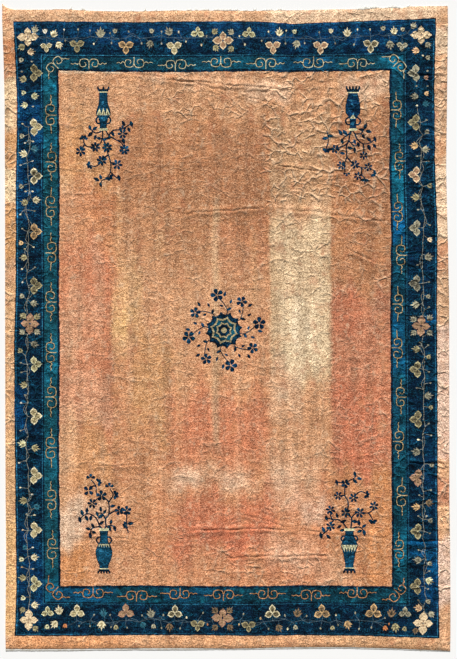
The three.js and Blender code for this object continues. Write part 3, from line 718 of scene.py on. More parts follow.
def bandLoop(line, offset, ragged):
    # one of the border's lines as a closed loop, moved offset towards the field
    cornerAt = {}
    for far in ("far", "near"):
        for left in ("left", "right"):
            x = borderLines[left][0 if far == "near" else -1][line]
            for _ in range(3):  # closes in on where the two sides' lines cross
                y = float(sideLine(far, line, x, offset))
                x = float(sideLine(left, line, y, offset))
            cornerAt[far, left] = (x, y)
    loop = []
    for side, start, end, axis in (("near", "left", "right", 0), ("right", "near", "far", 1),
                                   ("far", "right", "left", 0), ("left", "far", "near", 1)):
        a = cornerAt[(side, start) if axis == 0 else (start, side)]
        b = cornerAt[(side, end) if axis == 0 else (end, side)]
        places = np.linspace(a[axis], b[axis], max(3, round(abs(b[axis] - a[axis]) / bandStep)))[:-1]
        values = sideLine(side, line, places, offset) + rng.uniform(-ragged, ragged, len(places))
        values[0] = a[1 - axis]
        loop.append(np.column_stack([places, values] if axis == 0 else [values, places]))
    return np.concatenate(loop)


bands = [  # line, offset towards the field, yarn, raggedness
    (1, 0.0, "ink", 0.2), (1, 0.8, "seamBlue", 0.09), (1, 1.3, "navy", 0.12),
    (2, -0.95, "seamTeal", 0.04), (2, -0.45, "ink", 0.05), (2, 0.45, "teal", 0.06),
    (3, -1.35, "ink", 0.12), (3, 0.0, "peach", 0.24),
]
for line, offset, yarn, ragged in bands:
    draw(bandLoop(line, offset, ragged), yarn)

# The outlines that motifs are made of, at unit size and pointing to +y.
lobe = mirrored([(0, 0), (0.15, 0.08), (0.32, 0.23), (0.42, 0.45), (0.39, 0.66), (0.25, 0.83),
                 (0.10, 0.92), (0, 1.06)])
ogee = mirrored([(0, 0), (0.18, 0.14), (0.31, 0.32), (0.37, 0.52), (0.33, 0.68), (0.20, 0.82), (0.07, 0.94),
                 (0, 1.03)])
petal = mirrored([(0, 0.08), (0.13, 0.30), (0.24, 0.62), (0.22, 0.88), (0.10, 1.0), (0, 1.02)])
drop = mirrored([(0, -0.5), (0.25, -0.28), (0.36, 0.02), (0.26, 0.30), (0, 0.62)])
blade = mirrored([(0, -0.55), (0.22, -0.30), (0.31, 0.0), (0.19, 0.32), (0, 0.62)])
fan = mirrored([(0, -0.56), (0.26, -0.46), (0.44, -0.20), (0.62, 0.14), (0.34, 0.06), (0.40, 0.46),
                (0.14, 0.26), (0, 0.80)])
fanVein = mirrored([(0, -0.36), (0.09, -0.28), (0.28, 0.0), (0.07, -0.08), (0.13, 0.22), (0, 0.36)])
tulip = mirrored([(0, -0.52), (0.26, -0.38), (0.44, -0.02), (0.42, 0.42), (0.22, 0.18), (0.09, 0.44),
                  (0, 0.34)])
tulipDot = mirrored([(0, -0.24), (0.17, -0.06), (0.10, 0.10), (0, 0.02)])

sizes = {  # of a motif's lobes, leaves and lines at size 1, in centimetres
    "lobe": 4.9, "mateLobe": 4.2, "smallLobe": 3.8, "rosettePetal": 6.2, "leaf": 4.5, "flower": 3.1,
    "bud": 1.4, "vine": 0.30, "stalk": 0.27, "scroll": 0.61, "scrollLine": 0.50, "daisy": 2.75,
    "daisyEye": 0.8, "sprayStem": 0.98, "sprayLeaf": 3.4, "ring": 1.05,
}
lobeLook = {
    "filling": 0.74,  # size of a lobe's filling and of its heart, against the lobe
    "heart": 0.46,
    "fillingStep": 0.09,  # how far out along the lobe they start
    "heartStep": 0.30,
    "heartWidth": 0.6,
    "notch": 0.19,  # size of the notches between lobes, and how far out they are
    "notchOut": 0.46,
}


def put(outline, x, y, turn, size, yarn):
    draw(placed(outline, x, y, turn, size), yarn)


def lobedMotif(x, y, turn, size, tone, angles, lengths, side, tip, filling=lobeLook["filling"],
               heart=lobeLook["heart"]):
    # all light rims first, then all fillings and all hearts, so that each run together
    look = lobeLook
    lobes = [tip if angle == 0 else side for angle in angles]
    hearts = [blade * (look["heartWidth"], 1)] * len(angles)
    edge, fill, core = tones[tone]
    for forms, share, step, yarn in ((lobes, 1, 0, edge), (lobes, filling, look["fillingStep"], fill),
                                     (hearts, heart, look["heartStep"], core)):
        for form, angle, length in zip(forms, angles, lengths):
            heading = math.radians(turn + angle)
            out = size * length * step
            put(form, x - out * math.sin(heading), y + out * math.cos(heading), turn + angle,
                size * length * share, yarn)
    # notches between the lobes show the ground
    for one, other in zip(angles, angles[1:] + angles[:1]):
        heading = math.radians(turn + (one + other) / 2 + (180 if abs(one - other) > 180 else 0))
        out = size * look["notchOut"]
        put(blade, x - out * math.sin(heading), y + out * math.cos(heading), math.degrees(heading),
            size * look["notch"], "ink")


def trefoil(x, y, turn, size, tone):
    # a heart of three lobes at the rug's ends, a more open clover along its sides
    atEnd = abs(y) > 170
    shift = placed([(0, 0.0 if atEnd else -0.10)], x, y, turn, size * sizes["lobe"])[0]
    spread = 109 if atEnd else 93
    lobedMotif(*shift, turn, size * sizes["lobe"], tone, (spread, 0, -spread),
               (1.0, 1.06, 1.0) if atEnd else (1.03, 1.0, 1.03), lobe, ogee if atEnd else lobe)


def mate(x, y, turn, size, tone):
    lobedMotif(x, y, turn, size * sizes["mateLobe"], tone, (112, 0, -112), (1.08, 0.92, 1.08), lobe, ogee)


def smallTrefoil(x, y, turn, size, tone):
    lobedMotif(x, y, turn, size * sizes["smallLobe"], tone, (102, 0, -102), (1.0, 1.05, 1.0), lobe, ogee)


def rosette(x, y, turn, size, tone):
    middle = abs(x) < 20 or abs(y) < 20  # the mid-side ones are filled, the corner ones plain
    lobedMotif(x, y, turn, size * sizes["rosettePetal"], tone, (0, 90, 180, -90), (0.9, 1.03, 0.88, 1.03),
               ogee, ogee, 0.76 if middle else 0.2, 0.40 if middle else 0.12)
    put(drop, x, y, turn, size * (1.6 if middle else 1.0), "blue")


def leaf(x, y, turn, size, tone):
    put(fan, x, y, turn, size * sizes["leaf"], tones[tone][0])
    put(fanVein, x, y, turn, size * sizes["leaf"], tones[tone][1])


def budFlower(x, y, turn, size, tone):
    put(tulip, x, y, turn, size * sizes["flower"], tones[tone][0])
    put(tulipDot, x, y, turn, size * sizes["flower"], tones[tone][2])


def bud(x, y, turn, size, tone):
    put(drop, x, y, turn, size * sizes["bud"], tones[tone][0])


motifKinds = {"T": trefoil, "H": mate, "t": smallTrefoil, "R": rosette, "L": leaf, "F": budFlower, "B": bud}
usualTurn = {"F": 180, "H": 180}
usualSize = {"L": 0.9, "R": 1.05}
motifLook = {
    "turn": 4,  # a motif turns by up to this many degrees
    "looseTurn": 14,  # and leaves, bud flowers and buds by up to this
    "size": 0.06,  # and its size varies by this share
}
vineLook = {
    "piece": 4.2,  # centimetres between the stem's bends, and between the points of its curves
    "smooth": 2.6,
    "depth": -1.0,  # its place from the middle of the navy, and how far it sways
    "sway": 1.2,
    "endDepth": -0.9,
    "rosetteGap": 6.4,  # how far from a rosette's middle it stops
    "doubled": 0.6,  # share of its bends that have a second stem, and how thick that one is
    "doubleWidth": 0.85,
    "stalkReach": 11,  # motifs farther than this from it have no stalk
}


def acrossSide(side, x, y):
    # a place as its distance along the side and the other one, across it, and back again
    return (x, y) if side in ("far", "near") else (y, x)


def navyMiddle(side, along):
    return float((sideLine(side, 1, along) + sideLine(side, 2, along)) / 2)


def fromSide(side, along, depth):
    return acrossSide(side, along, navyMiddle(side, along) + (1 if side in ("near", "left") else -1) * depth)


def vine(side, motifs):
    # a thin crooked stem, doubled in places, that passes behind each trefoil
    look = vineLook
    yarn = "vine" if side in ("left", "right") else "vineDim"
    stops = []
    for kind, x, y, *_ in motifs:
        along = acrossSide(side, x, y)[0]
        if kind == "R":
            stops += [along - look["rosetteGap"], along + look["rosetteGap"]]
        elif kind in "THt":
            stops.append(along)
    stops = sorted(stops)[1:-1]
    bends = []
    for a, b in zip(stops, stops[1:]):
        if abs(b - a - 2 * look["rosetteGap"]) < 0.1:
            continue  # the rosette halfway
        steps = max(2, round((b - a) / look["piece"]))
        strays = np.append(0, np.append(rng.uniform(-0.25, 0.25, steps - 1), 0))
        places = a + (b - a) * (np.arange(steps + 1) + strays) / steps
        depths = look["depth"] + rng.uniform(-look["sway"], look["sway"], steps + 1)
        depths[0] = depths[-1] = look["endDepth"]
        line = [fromSide(side, place, depth) for place, depth in zip(places, depths)]
        stroke(curveThrough(line, look["smooth"]), sizes["vine"], yarn)
        bends += line
        for start in range(0, steps - 1, 2):
            if rng.random() < look["doubled"]:
                swing = rng.choice((-1, 1)) * rng.uniform(1.1, 2.0)
                middle = fromSide(side, places[start + 1], depths[start + 1] + swing)
                stroke(curveThrough([line[start], middle, line[min(start + 2, steps)]], look["smooth"]),
                       sizes["vine"] * look["doubleWidth"], yarn)
    bends = np.array(bends)
    for kind, x, y, *_ in motifs:
        reach = np.hypot(bends[:, 0] - x, bends[:, 1] - y)
        if kind == "R" or reach.min() > look["stalkReach"]:
            continue
        knot = bends[np.argmin(reach)]
        bend = (np.array((x, y)) + knot) / 2 + rng.uniform(-0.6, 0.6, 2)
        stroke(curveThrough([knot, bend, (x, y)], 2.4), sizes["stalk"], yarn)


def borderMotif(side, kind, x, y, tone="ash", turn=None, size=None):
    turn = usualTurn.get(kind, 0) if turn is None else turn
    size = usualSize.get(kind, 1) if size is None else size
    loose = motifLook["looseTurn" if kind in "LFB" else "turn"]
    turn += rng.uniform(-loose, loose)
    size *= rng.uniform(1 - motifLook["size"], 1 + motifLook["size"])
    motifKinds[kind](x, y, inward[side] + turn, size, tone)


for side, motifs in borderMotifs.items():
    vine(side, motifs)
for side, motifs in borderMotifs.items():
    for motif in motifs:
        borderMotif(side, *motif)


scrollLook = {
    "stem": [(0, 5.6), (0.2, 3.0), (0, 0.6), (0, -2.2)],
    "coilAt": 5.5,  # the coil's middle, its widest radius and how much of that it loses
    "coilRadius": 5.6,
    "coilFall": 4.3,
    "coilFrom": 195,  # where the coil starts and how far it turns, in degrees
    "coilTurn": 405,
    "coilPoints": 15,
    "square": 0.07,  # how far the coil is from round, since knots lie in rows
    "shadow": 2.1,  # width of the dark line under the light one
    "taper": 0.8,
}


def scroll(x, y, turn, yarn, bend):
    # a stem with a coil and a wavy tail to each side; bend turns the tails round a corner
    look = scrollLook
    unit = sizes["scroll"]
    width = sizes["scrollLine"] / unit
    lines = [(placed(look["stem"], x, y, turn, unit), 1.0)]
    for hand in (1, -1):
        swing = rng.uniform(0.9, 1.1)
        coil = []
        for step in range(look["coilPoints"]):
            share = step / (look["coilPoints"] - 1)
            angle = math.radians(look["coilFrom"] + look["coilTurn"] * share)
            radius = look["coilRadius"] - look["coilFall"] * share ** 1.4
            radius = radius * swing * (1 - look["square"] * math.cos(4 * angle))
            across = look["coilAt"] * swing + radius * math.cos(angle)
            coil.append((hand * across, radius * math.sin(angle)))
        sway = rng.uniform(-0.6, 0.6)
        tail = [(9.9, -0.4), (12.0, 0.7 + sway), (14.2, -0.3 - sway), (16.6, 0.5), (18.6, -0.1 - sway)]
        tail = [(hand * (px - 0.3 * bend * max(0, px - 9.5)) * swing, py + 0.7 * bend * max(0, px - 9.5))
                for px, py in tail]
        for line in (coil, curveThrough(tail, 1.8)):
            line = placed(line, x, y, turn, unit)
            stroke(line[::2], width * unit * look["shadow"], "ink")
            lines.append((line, look["taper"]))
        put(drop, *placed([(hand * 10.6 * swing, -1.6)], x, y, turn, unit)[0], turn, 1.3, "ink")
    put(drop, *placed([(0, -2.6)], x, y, turn, unit)[0], turn, 1.5, "ink")
    for line, taper in lines:
        stroke(line, width * unit, yarn, taper)


for yarn, places in guardScrolls.items():
    for x, y, turn in places:
        scroll(x, y, turn, yarn, 1.0 if turn % 90 else 0.0)


def daisy(x, y, petals, size, turn=0.0, spread=360.0):
    wide = petal * (1.5 if petals < 6 else 1.18, 1.05)
    for i in range(petals):
        angle = turn + spread * ((i + 0.5) / petals - 0.5)
        put(wide, x, y, angle, size * sizes["daisy"], "navy" if (i * 5 + petals) % 4 else "blue")
    if spread == 360.0:
        put(drop, x, y, turn, sizes["daisyEye"], "tan")


def bladeLeaf(x, y, stems, size):
    # a leaf that points away from the nearest stem
    every = np.concatenate(stems)
    near = every[np.argmin(np.hypot(every[:, 0] - x, every[:, 1] - y))]
    if math.hypot(x - near[0], y - near[1]) < 0.6:
        near = (x - 0.3, y + 1)
    turn = math.degrees(math.atan2(y - near[1], x - near[0])) - 90
    put(blade, x, y, turn, size * sizes["sprayLeaf"], "ink" if rng.random() < 0.75 else "blue")


def fromMouth(spray, rows):
    # rows given from the vase's mouth, in the rug's own places to the millimetre
    mouthX, mouthY = spray["mouth"]
    return [(round(mouthX + x, 1), round(mouthY + y, 1), *rest) for x, y, *rest in rows]


for spray in sprays:
    stems = [curveThrough(fromMouth(spray, stem), 1.3) for stem in spray["stems"]]
    for stem in stems:
        stroke(stem, sizes["sprayStem"], "ink", 0.7)
    for x, y in fromMouth(spray, spray["leaves"]):
        bladeLeaf(x, y, stems, rng.uniform(0.9, 1.15))
    for x, y, petals, size in fromMouth(spray, spray["flowers"]):
        daisy(x, y, petals, size, rng.uniform(0, 60))
    for x, y, petals, size, heading in fromMouth(spray, spray["halves"]):
        daisy(x, y, petals, size, heading - 90, 210)


def vase(x, foot, way, body, collar, teeth, prongs, rings, tint, flecks):
    def fill(points, yarn):
        draw([(x + px, foot + way * py) for px, py in points], yarn)

    def halfAt(level, rows=body):
        return np.interp(level, *zip(*rows))

    def wall(low, high, rows):
        between = [row for row in rows if low < row[0] < high]
        right = [(half, level) for level, half in between]
        right = [(halfAt(low, rows), low), *right, (halfAt(high, rows), high)]
        return right + [(-half, level) for half, level in reversed(right)]

    bottom, top = body[0][0], body[-1][0]
    footWide = body[0][1] + 0.9
    low, high, out = rings
    neck = halfAt(high) - 0.2
    for hand in (1, -1):
        shares = ((0, 1), (0.62, 0.97), (1, 0.62), (0.92, 0.30), (0.5, 0.04), (0, 0))
        ring = [(hand * (neck + (out - neck) * across), low + (high - low) * up) for across, up in shares]
        ring = [(x + px, foot + way * py) for px, py in curveThrough(ring, 0.7)]
        stroke(ring, sizes["ring"], "ink")
    fill(wall(bottom, top, body), "ink")
    fill(wall(bottom + 0.3, top - 0.2, [(level, max(0.3, half - 0.45)) for level, half in body]), tint)
    for i in range(flecks):
        level = bottom + (high - bottom) * (i + 0.7) / flecks
        across = (rng.random() - 0.5) * halfAt(level)
        put(blade, x + across, foot + way * level, rng.uniform(20, 160), rng.uniform(1.8, 3.4), "seamBlue")
    for level, deep in ((bottom - 0.1, 0.35), (top + 0.3, 0.7)):
        half = halfAt(level) * (1.08 if level > top else 1)  # the lip stands out a little
        low, high = level - deep, level + deep
        fill([(half, low), (half, high), (-half, high), (-half, low)], "mint")
    low, high = collar
    for i in range(teeth):
        left, right = -1 + 2 * i / teeth, -1 + 2 * (i + 1) / teeth
        half = halfAt(high) - 0.3
        point = (left + right) / 2 * (halfAt(low) - 0.5)
        fill([(left * half, high), (point, low), (right * half, high)], "mint")
        middle = (left + right) / 2 * half
        deep = half / teeth * 0.45
        fill([(middle - deep, high - 0.1), (point * 0.7 + middle * 0.3, low + (high - low) * 0.4),
              (middle + deep, high - 0.1)], "olive")
    base = bottom - 0.35
    fill([(-footWide, base * 0.5), (footWide, base * 0.5), (footWide - 0.4, base), (-footWide + 0.4, base)],
         "ink")
    for i in range(prongs):
        px = footWide * (-1 + 2 * i / (prongs - 1)) * 0.88
        tip = px * 1.12
        fill([(px - 0.8, base * 0.6), (tip - 0.4, 0), (tip + 0.4, 0), (px + 0.8, base * 0.6)], "ink")


for row in vases:
    vase(*row)

roundel = {
    "x": -1.4, "y": -1.5, "size": 25.0, "arms": 8, "stemWidth": 0.62, "eye": 1.7,
    "leaves": [(0.13, 0.52, -60, 3.0), (0.17, 0.70, -20, 2.6), (-0.06, 0.60, 70, 2.4),
               (0.02, 0.88, -15, 3.0)],
    # petals, their reach and their filling's, filling and edge
    "rounds": [(12, 0.44, 0.38, "navy", "ink"), (8, 0.33, 0.28, "teal", "sand"),
               (8, 0.2, 0.16, "navy", "sand")],
}


def drawRoundel(look):
    # a round garden of flowers: a layered bloom, eight curling stems, and flowers and leaves
    x, y, size, arms = look["x"], look["y"], look["size"], look["arms"]
    for arm in range(arms):
        turn = 360 / arms * arm
        stem = [(0.0, 0.30), (0.09, 0.45), (0.03, 0.60), (-0.06, 0.72), (-0.15, 0.78), (-0.20, 0.70)]
        stroke(placed(curveThrough(stem, 0.05), x, y, turn, size), look["stemWidth"], "ink")
        for across, up, away, reach in look["leaves"]:
            spot = placed([(across, up)], x, y, turn, size)[0]
            put(blade, *spot, turn + away, reach, "ink" if arm % 2 else "blue")
        spot = placed([(-0.19, 0.80) if arm % 2 else (-0.17, 0.86)], x, y, turn, size)[0]
        daisy(*spot, 5, 1.15 if arm % 2 else 1.35, turn + 18)
    for count, reach, inside, yarn, edge in look["rounds"]:
        for share, tint in ((reach, edge), (inside, yarn)):
            for i in range(count):
                put(lobe, x, y, 360 * i / count + reach * 90, size * share, tint)
    eye = [(math.cos(a), math.sin(a)) for a in np.linspace(0, 2 * math.pi, 13)[:-1]]
    put(eye, x, y, 0, look["eye"], "sand")


drawRoundel(roundel)
print("pattern drawn", len(shapes), "shapes")

# Washes: where sun, wear and the dyer's lots have shifted the yarns' colours, and a few painted highlights
# on lit fold tops and on the field's far edge.
dyes = {
    "tan": (181, 126, 86), "brown": (164, 112, 78), "straw": (211, 183, 144), "paleStraw": (236, 213, 176),
    "honey": (226, 180, 130), "oliveStraw": (186, 149, 112), "oliveOchre": (196, 150, 100),
    "ochre": (209, 156, 102), "gold": (232, 186, 122), "rosy": (203, 130, 94), "red": (199, 112, 80),
    "redder": (194, 98, 72), "pink": (226, 182, 148), "shell": (232, 202, 174), "cream": (247, 219, 176),
    "offWhite": (240, 222, 192), "orange": (216, 144, 84), "amber": (238, 166, 110),
    "rustTan": (194, 130, 84), "roseTan": (188, 121, 91), "greyTan": (206, 167, 132),
    "blush": (238, 204, 182), "beige": (234, 206, 174), "peachPale": (212, 164, 124),
    "apricot": (208, 162, 122), "apricotPale": (226, 184, 142), "deep": (5, 24, 42),
    "slateBlue": (12, 54, 92), "brightNavy": (8, 60, 108), "tealGreen": (26, 82, 92),
    "tealDark": (6, 42, 56), "slateTeal": (10, 52, 74), "greyTeal": (12, 56, 74), "cyan": (22, 118, 148),
    "cyanBlue": (10, 92, 146),
}


def column(x, halfX, softX, rows):
    # washes of one narrow band, one after another: y, half height, soft edge along, dye, amount
    return [(x, y, halfX, halfY, softX, softY, dye, amount) for y, halfY, softY, dye, amount in rows]


# x, y, half width, half height, soft edge across, soft edge along, dye, amount
washes = {"peach": [
    (-0.8, 141.4, 101.9, 18.3, 3.7, 14.6, "apricot", 0.55),
    (-85.9, 87.1, 16.8, 39.6, 1.2, 24.4, "ochre", 0.55),
    (-21.2, 76.8, 47.9, 48.8, 1.2, 18.3, "tan", 0.8), (4.7, 97.5, 20.7, 28.1, 12.2, 18.3, "brown", 0.5),
    (-60.2, 98.7, 8.8, 28.1, 4.9, 24.4, "brown", 0.3),
    (-44.7, 74.9, 4.3, 39.6, 3.7, 36.6, "brown", 0.25), (8.7, 49.3, 16.2, 15.2, 7.3, 12.2, "rosy", 0.4),
    (-39.5, 54.5, 26.5, 20.4, 12.2, 18.3, "peachPale", 0.25),
    (-84.9, 78.6, 16.5, 10.4, 7.3, 9.8, "rustTan", 0.6),
    (-97.1, 74.3, 4.3, 18.3, 3.7, 18.3, "apricotPale", 0.55),
    (-84.3, 32.2, 2.4, 88.5, 1.8, 30.5, "apricotPale", 0.25),
    (-94.1, 68.8, 7.3, 14, 4.9, 7.3, "apricotPale", 0.3),
    (-85.9, 31, 16.8, 17.7, 6.1, 13.4, "red", 0.65),
    (-85.9, -20.2, 16.8, 39.6, 1.2, 24.4, "rosy", 0.85), (-93.5, -5, 9.2, 22, 9.8, 20.7, "pink", 0.35),
    (-85.6, -43.4, 15.9, 15.2, 6.1, 6.1, "pink", 0.35),
    (4.7, 35.3, 17.1, 20.7, 7.3, 8.5, "peachPale", 0.35),
    (-78.2, 26.1, 3.7, 27.4, 4.9, 24.4, "pink", 0.35),
    (-60.5, 12.7, 9.2, 23.8, 1.2, 24.4, "honey", 0.75), (-61.8, 4.8, 6.7, 7.3, 4.9, 8.5, "gold", 0.55),
    (-45.9, -33.6, 11.6, 32.3, 8.5, 22, "oliveOchre", 0.6),
    (-32.5, 14.5, 20.1, 25.6, 9.8, 22, "peachPale", 0.45),
    (-4.4, -4.4, 29.9, 29.9, 12.2, 26.8, "peachPale", 0.35),
    (-5, -62.9, 31.7, 23.8, 9.8, 14.6, "rosy", 0.75), (-2.6, -59.9, 24.4, 13.4, 9.8, 11, "red", 0.35),
    (-97.1, -80, 5.5, 26.2, 4.9, 18.3, "apricotPale", 0.45),
    (-80.1, -81.8, 11.6, 23.2, 7.3, 18.3, "ochre", 0.4),
    (-50.2, -81.2, 19.5, 15.2, 9.8, 11, "tan", 0.35), (-9.3, -91.9, 27.4, 7.6, 12.2, 6.1, "pink", 0.5),
    (-23.3, -91.6, 7.3, 4.9, 4.9, 4.9, "shell", 0.5), (4.7, -93.1, 7.3, 4, 4.9, 3.7, "shell", 0.4),
    (-9.3, -121.5, 37.2, 21.3, 9.8, 14.6, "rosy", 0.6),
    (-2.6, -120.9, 30.5, 15.9, 12.2, 14.6, "red", 0.65),
    (1.7, -127, 20.1, 4.9, 15.9, 7.3, "redder", 0.3),
    (-95.3, -122.1, 8.5, 14.6, 6.1, 11, "shell", 0.85),
    (-92.3, -147.1, 9.2, 12.8, 8.5, 11, "orange", 0.65),
    (-78.8, -114.2, 7.9, 9.2, 4.9, 4.9, "shell", 0.4),
    (-56.9, -129.4, 26.2, 30.5, 9.8, 18.3, "peachPale", 0.2),
    (5.9, -148.9, 39, 11, 12.2, 9.8, "rosy", 0.3),
    (-46.5, -123.3, 14.6, 18.3, 9.8, 14.6, "rustTan", 0.35),
    (45.3, 101.2, 18.6, 26.8, 1.5, 14.6, "oliveStraw", 0.8),
    (45.3, 17, 18.6, 51.2, 1.5, 11, "straw", 0.8),
    (46.2, 45.7, 14.6, 28.7, 8.5, 24.4, "paleStraw", 0.4),
    (46.8, -2.5, 14, 24.4, 7.3, 15.9, "paleStraw", 0.75),
    (57.8, 1.7, 6.7, 16.5, 3.7, 7.3, "paleStraw", 0.45),
    (42.5, 4.8, 2.4, 12.2, 3, 12.2, "offWhite", 0.5), (50.5, -0.7, 1.8, 6.7, 2.4, 7.3, "offWhite", 0.4),
    (36.4, -39.7, 9.8, 16.5, 2.4, 15.9, "pink", 0.75), (35.2, -41, 3.7, 4.3, 3, 3.7, "offWhite", 0.6),
    (45.3, -59.3, 18.6, 27.4, 3, 14.6, "peachPale", 0.5),
    (41.9, -94, 16.5, 18.3, 6.1, 13.4, "pink", 0.45), (37.1, -95.9, 7.9, 11.6, 4.9, 7.3, "shell", 0.35),
    (52.3, -111.7, 7.3, 6.7, 4.9, 6.1, "shell", 0.75), (41.3, -138, 15.9, 11, 7.3, 8.5, "pink", 0.55),
    (37.7, -138, 7.3, 4.9, 3.7, 4.9, "shell", 0.4), (59.9, 21.3, 4, 53.1, 4.9, 24.4, "straw", 0.3),
    (82.5, 86.5, 18.6, 52.5, 1.5, 22, "tan", 0.8), (88.9, 81.6, 12.2, 45.1, 9.8, 18.3, "brown", 0.5),
    (82.5, 25.5, 18.6, 12.2, 1.5, 14.6, "brown", 0.45),
    (82.5, -33.6, 18.6, 55.5, 1.5, 15.9, "roseTan", 0.85), (74.3, 10.3, 8.5, 14, 6.1, 11, "red", 0.45),
    (82.8, -59.3, 15.9, 27.4, 8.5, 14.6, "red", 0.6),
    (43.8, -129.4, 20.7, 30.5, 4.9, 14.6, "red", 0.25),
    (-85.9, 65.8, 16.8, 18.3, 3.7, 12.2, "red", 0.35),
    (-11.1, 74.3, 35.4, 34.2, 12.2, 18.3, "brown", 0.2),
    (96.2, -44, 4.9, 42.7, 4.9, 24.4, "rosy", 0.45),
    (82.5, -123.3, 18.6, 36.6, 4.9, 14.6, "rustTan", 0.6),
    (93.2, -125.1, 7.9, 34.8, 6.1, 18.3, "orange", 0.35),
    (66.3, -150.8, 10.4, 9.2, 8.5, 8.5, "pink", 0.35),
    (82.5, 148.1, 18.6, 11.6, 6.1, 12.2, "apricot", 0.4),
    (84, 147.2, 14.6, 6.4, 6.1, 3.7, "shell", 0.45), (26.1, 143.9, 14, 6.1, 4.9, 3.7, "shell", 0.45),
    # painted highlight: the sunlit lip of the pile just below the far teal guard
    (-83.7, 156.7, 18.9, 0.9, 3.7, 1.5, "offWhite", 0.75),
    (-40.4, 156.4, 24.4, 0.9, 12.2, 1.5, "offWhite", 0.4),
    (-93.5, 18.2, 6.7, 37.8, 3.7, 18.3, "apricotPale", 0.15),
    (-41.9, 151.5, 4.6, 2.7, 3.7, 2.4, "shell", 0.3), (-6.9, 150.6, 21.3, 5.5, 12.2, 6.1, "pink", 0.35),
    (-6.6, 3, 2.1, 77.5, 1.8, 24.4, "straw", 0.45), (-65.7, 44.4, 0.9, 57.9, 1.2, 36.6, "honey", 0.35),
    (-40.4, 56, 2.4, 15.9, 3, 18.3, "honey", 0.3), (-29.1, -25.7, 1.5, 42.7, 1.8, 36.6, "honey", 0.25),
    (16.9, 30.4, 1.2, 31.7, 1.8, 30.5, "honey", 0.3), (-58.7, 1.7, 1.2, 57.9, 1.8, 36.6, "pink", 0.25),
    (-75.8, -102, 1.2, 39.6, 1.8, 30.5, "pink", 0.25),
    (-43.8, -74.5, 1.5, 42.7, 1.8, 30.5, "peachPale", 0.3),
    (7.2, -68.4, 1.2, 36.6, 1.8, 30.5, "pink", 0.2),
    *column(-134, 6.4, 2.4, [
        (168.3, 7.3, 1.8, "rustTan", 0.9), (156.4, 4.6, 1.8, "rustTan", 0.45),
        (144.2, 7.6, 3.7, "cream", 0.75), (128.6, 7.9, 3.7, "cream", 0.7),
        (107.9, 11, 3.7, "ochre", 0.85), (85.9, 10.4, 3, "cream", 1), (57.2, 17.1, 3.7, "ochre", 0.9),
        (-17.2, 43.9, 6.1, "honey", 0.6), (-91, 26.2, 6.1, "honey", 0.8),
        (-153.8, 36.6, 6.1, "gold", 0.7),
    ]),
    *column(133.4, 6.7, 2.4, [
        (175.6, 8.5, 3, "beige", 0.9), (142, 21.3, 4.9, "greyTan", 0.8),
        (78.6, 23.8, 4.9, "beige", 0.9), (43.2, 9.2, 5.5, "roseTan", 0.5),
        (17.9, 15.6, 3.7, "greyTan", 0.8), (-39.1, 40.3, 4.9, "blush", 0.95),
        (-100.1, 8.5, 3.7, "roseTan", 0.8), (-149.2, 19.8, 6.1, "blush", 1),
    ]),
    (-89.2, 194.5, 42.7, 7.9, 6.1, 2.4, "greyTan", 0.5),
    (-3.8, 194.5, 42.7, 7.9, 12.2, 2.4, "greyTan", 0.3),
    (78.5, 194.5, 51.9, 7.9, 12.2, 2.4, "beige", 0.8),
    (-95.3, -193.8, 36.6, 6.4, 12.2, 2.4, "amber", 0.8),
    (2.3, -193.8, 61, 6.4, 12.2, 2.4, "amber", 0.35),
    (95.6, -193.8, 32.3, 6.4, 12.2, 2.4, "ochre", 0.35),
], "navy": [
    (-0.8, 182.3, 131.2, 6.7, 3.7, 6.1, "slateBlue", 0.55),
    (-19.1, 179.9, 82.3, 6.7, 24.4, 7.3, "slateBlue", 0.4),
    (69.4, 178, 36.6, 8.5, 24.4, 12.2, "brightNavy", 0.3),
    (-120.9, 129.2, 9.8, 14.6, 6.1, 12.2, "brightNavy", 0.55),
    (-122.2, 85.3, 8.5, 18.3, 7.3, 12.2, "brightNavy", 0.4),
    (-126.4, -50.7, 4.3, 12.8, 3.7, 8.5, "brightNavy", 0.7),
    (-120.9, -149.5, 9.8, 22.6, 7.3, 18.3, "brightNavy", 0.35),
    (-117.3, -28.8, 6.1, 88.5, 6.1, 36.6, "deep", 0.35),
    (118.8, 126.8, 11.6, 30.5, 6.1, 24.4, "deep", 0.35),
    (125.5, 121.3, 4.9, 12.8, 3.7, 9.8, "brightNavy", 0.3),
    (125.5, -114.2, 4.9, 51.9, 4.9, 24.4, "brightNavy", 0.12),
    (113.9, -74.5, 6.7, 91.5, 4.9, 36.6, "deep", 0.3),
    (2.3, -178.8, 103.7, 11.6, 12.2, 4.9, "deep", 0.65),
    (124.3, -156.9, 6.1, 9.2, 3.7, 6.1, "brightNavy", 0.5),
    (-3.8, 173.8, 24.4, 7.9, 18.3, 6.1, "deep", 0.3), (-120, 46.9, 7.6, 6.7, 4.9, 7.3, "deep", 0.25),
    (-120, -109.9, 7.6, 13.4, 4.9, 9.8, "deep", 0.3), (-123.7, -150.2, 4, 15.9, 4.9, 12.2, "deep", 0.4),
    (124.3, 115.8, 6.1, 19.5, 4.9, 12.2, "deep", 0.3), (120.6, 18.8, 9.8, 7.9, 4.9, 6.1, "deep", 0.3),
    (124.3, -111.7, 6.1, 15.2, 4.9, 8.5, "deep", 0.35),
    # painted highlights: bright blue streaks along the tops of folds in the navy
    (-117.9, 120.1, 5.5, 1.8, 4.9, 2.4, "cyanBlue", 0.4),
    (120, -130.9, 9.2, 1.5, 6.1, 1.8, "cyanBlue", 0.6),
    (121.2, -137.6, 7.9, 1.5, 4.9, 1.8, "cyanBlue", 0.5),
    (125.8, -144.7, 3.4, 4.9, 2.4, 3.7, "cyanBlue", 0.45),
    (125.5, 6.6, 3.7, 3, 3.7, 3, "cyanBlue", 0.35), (109.3, -94, 0.9, 4.9, 1.2, 3.7, "cyanBlue", 0.4),
], "teal": [
    (-107.5, -2.5, 6.1, 157.4, 3.7, 18.3, "tealGreen", 0.5),
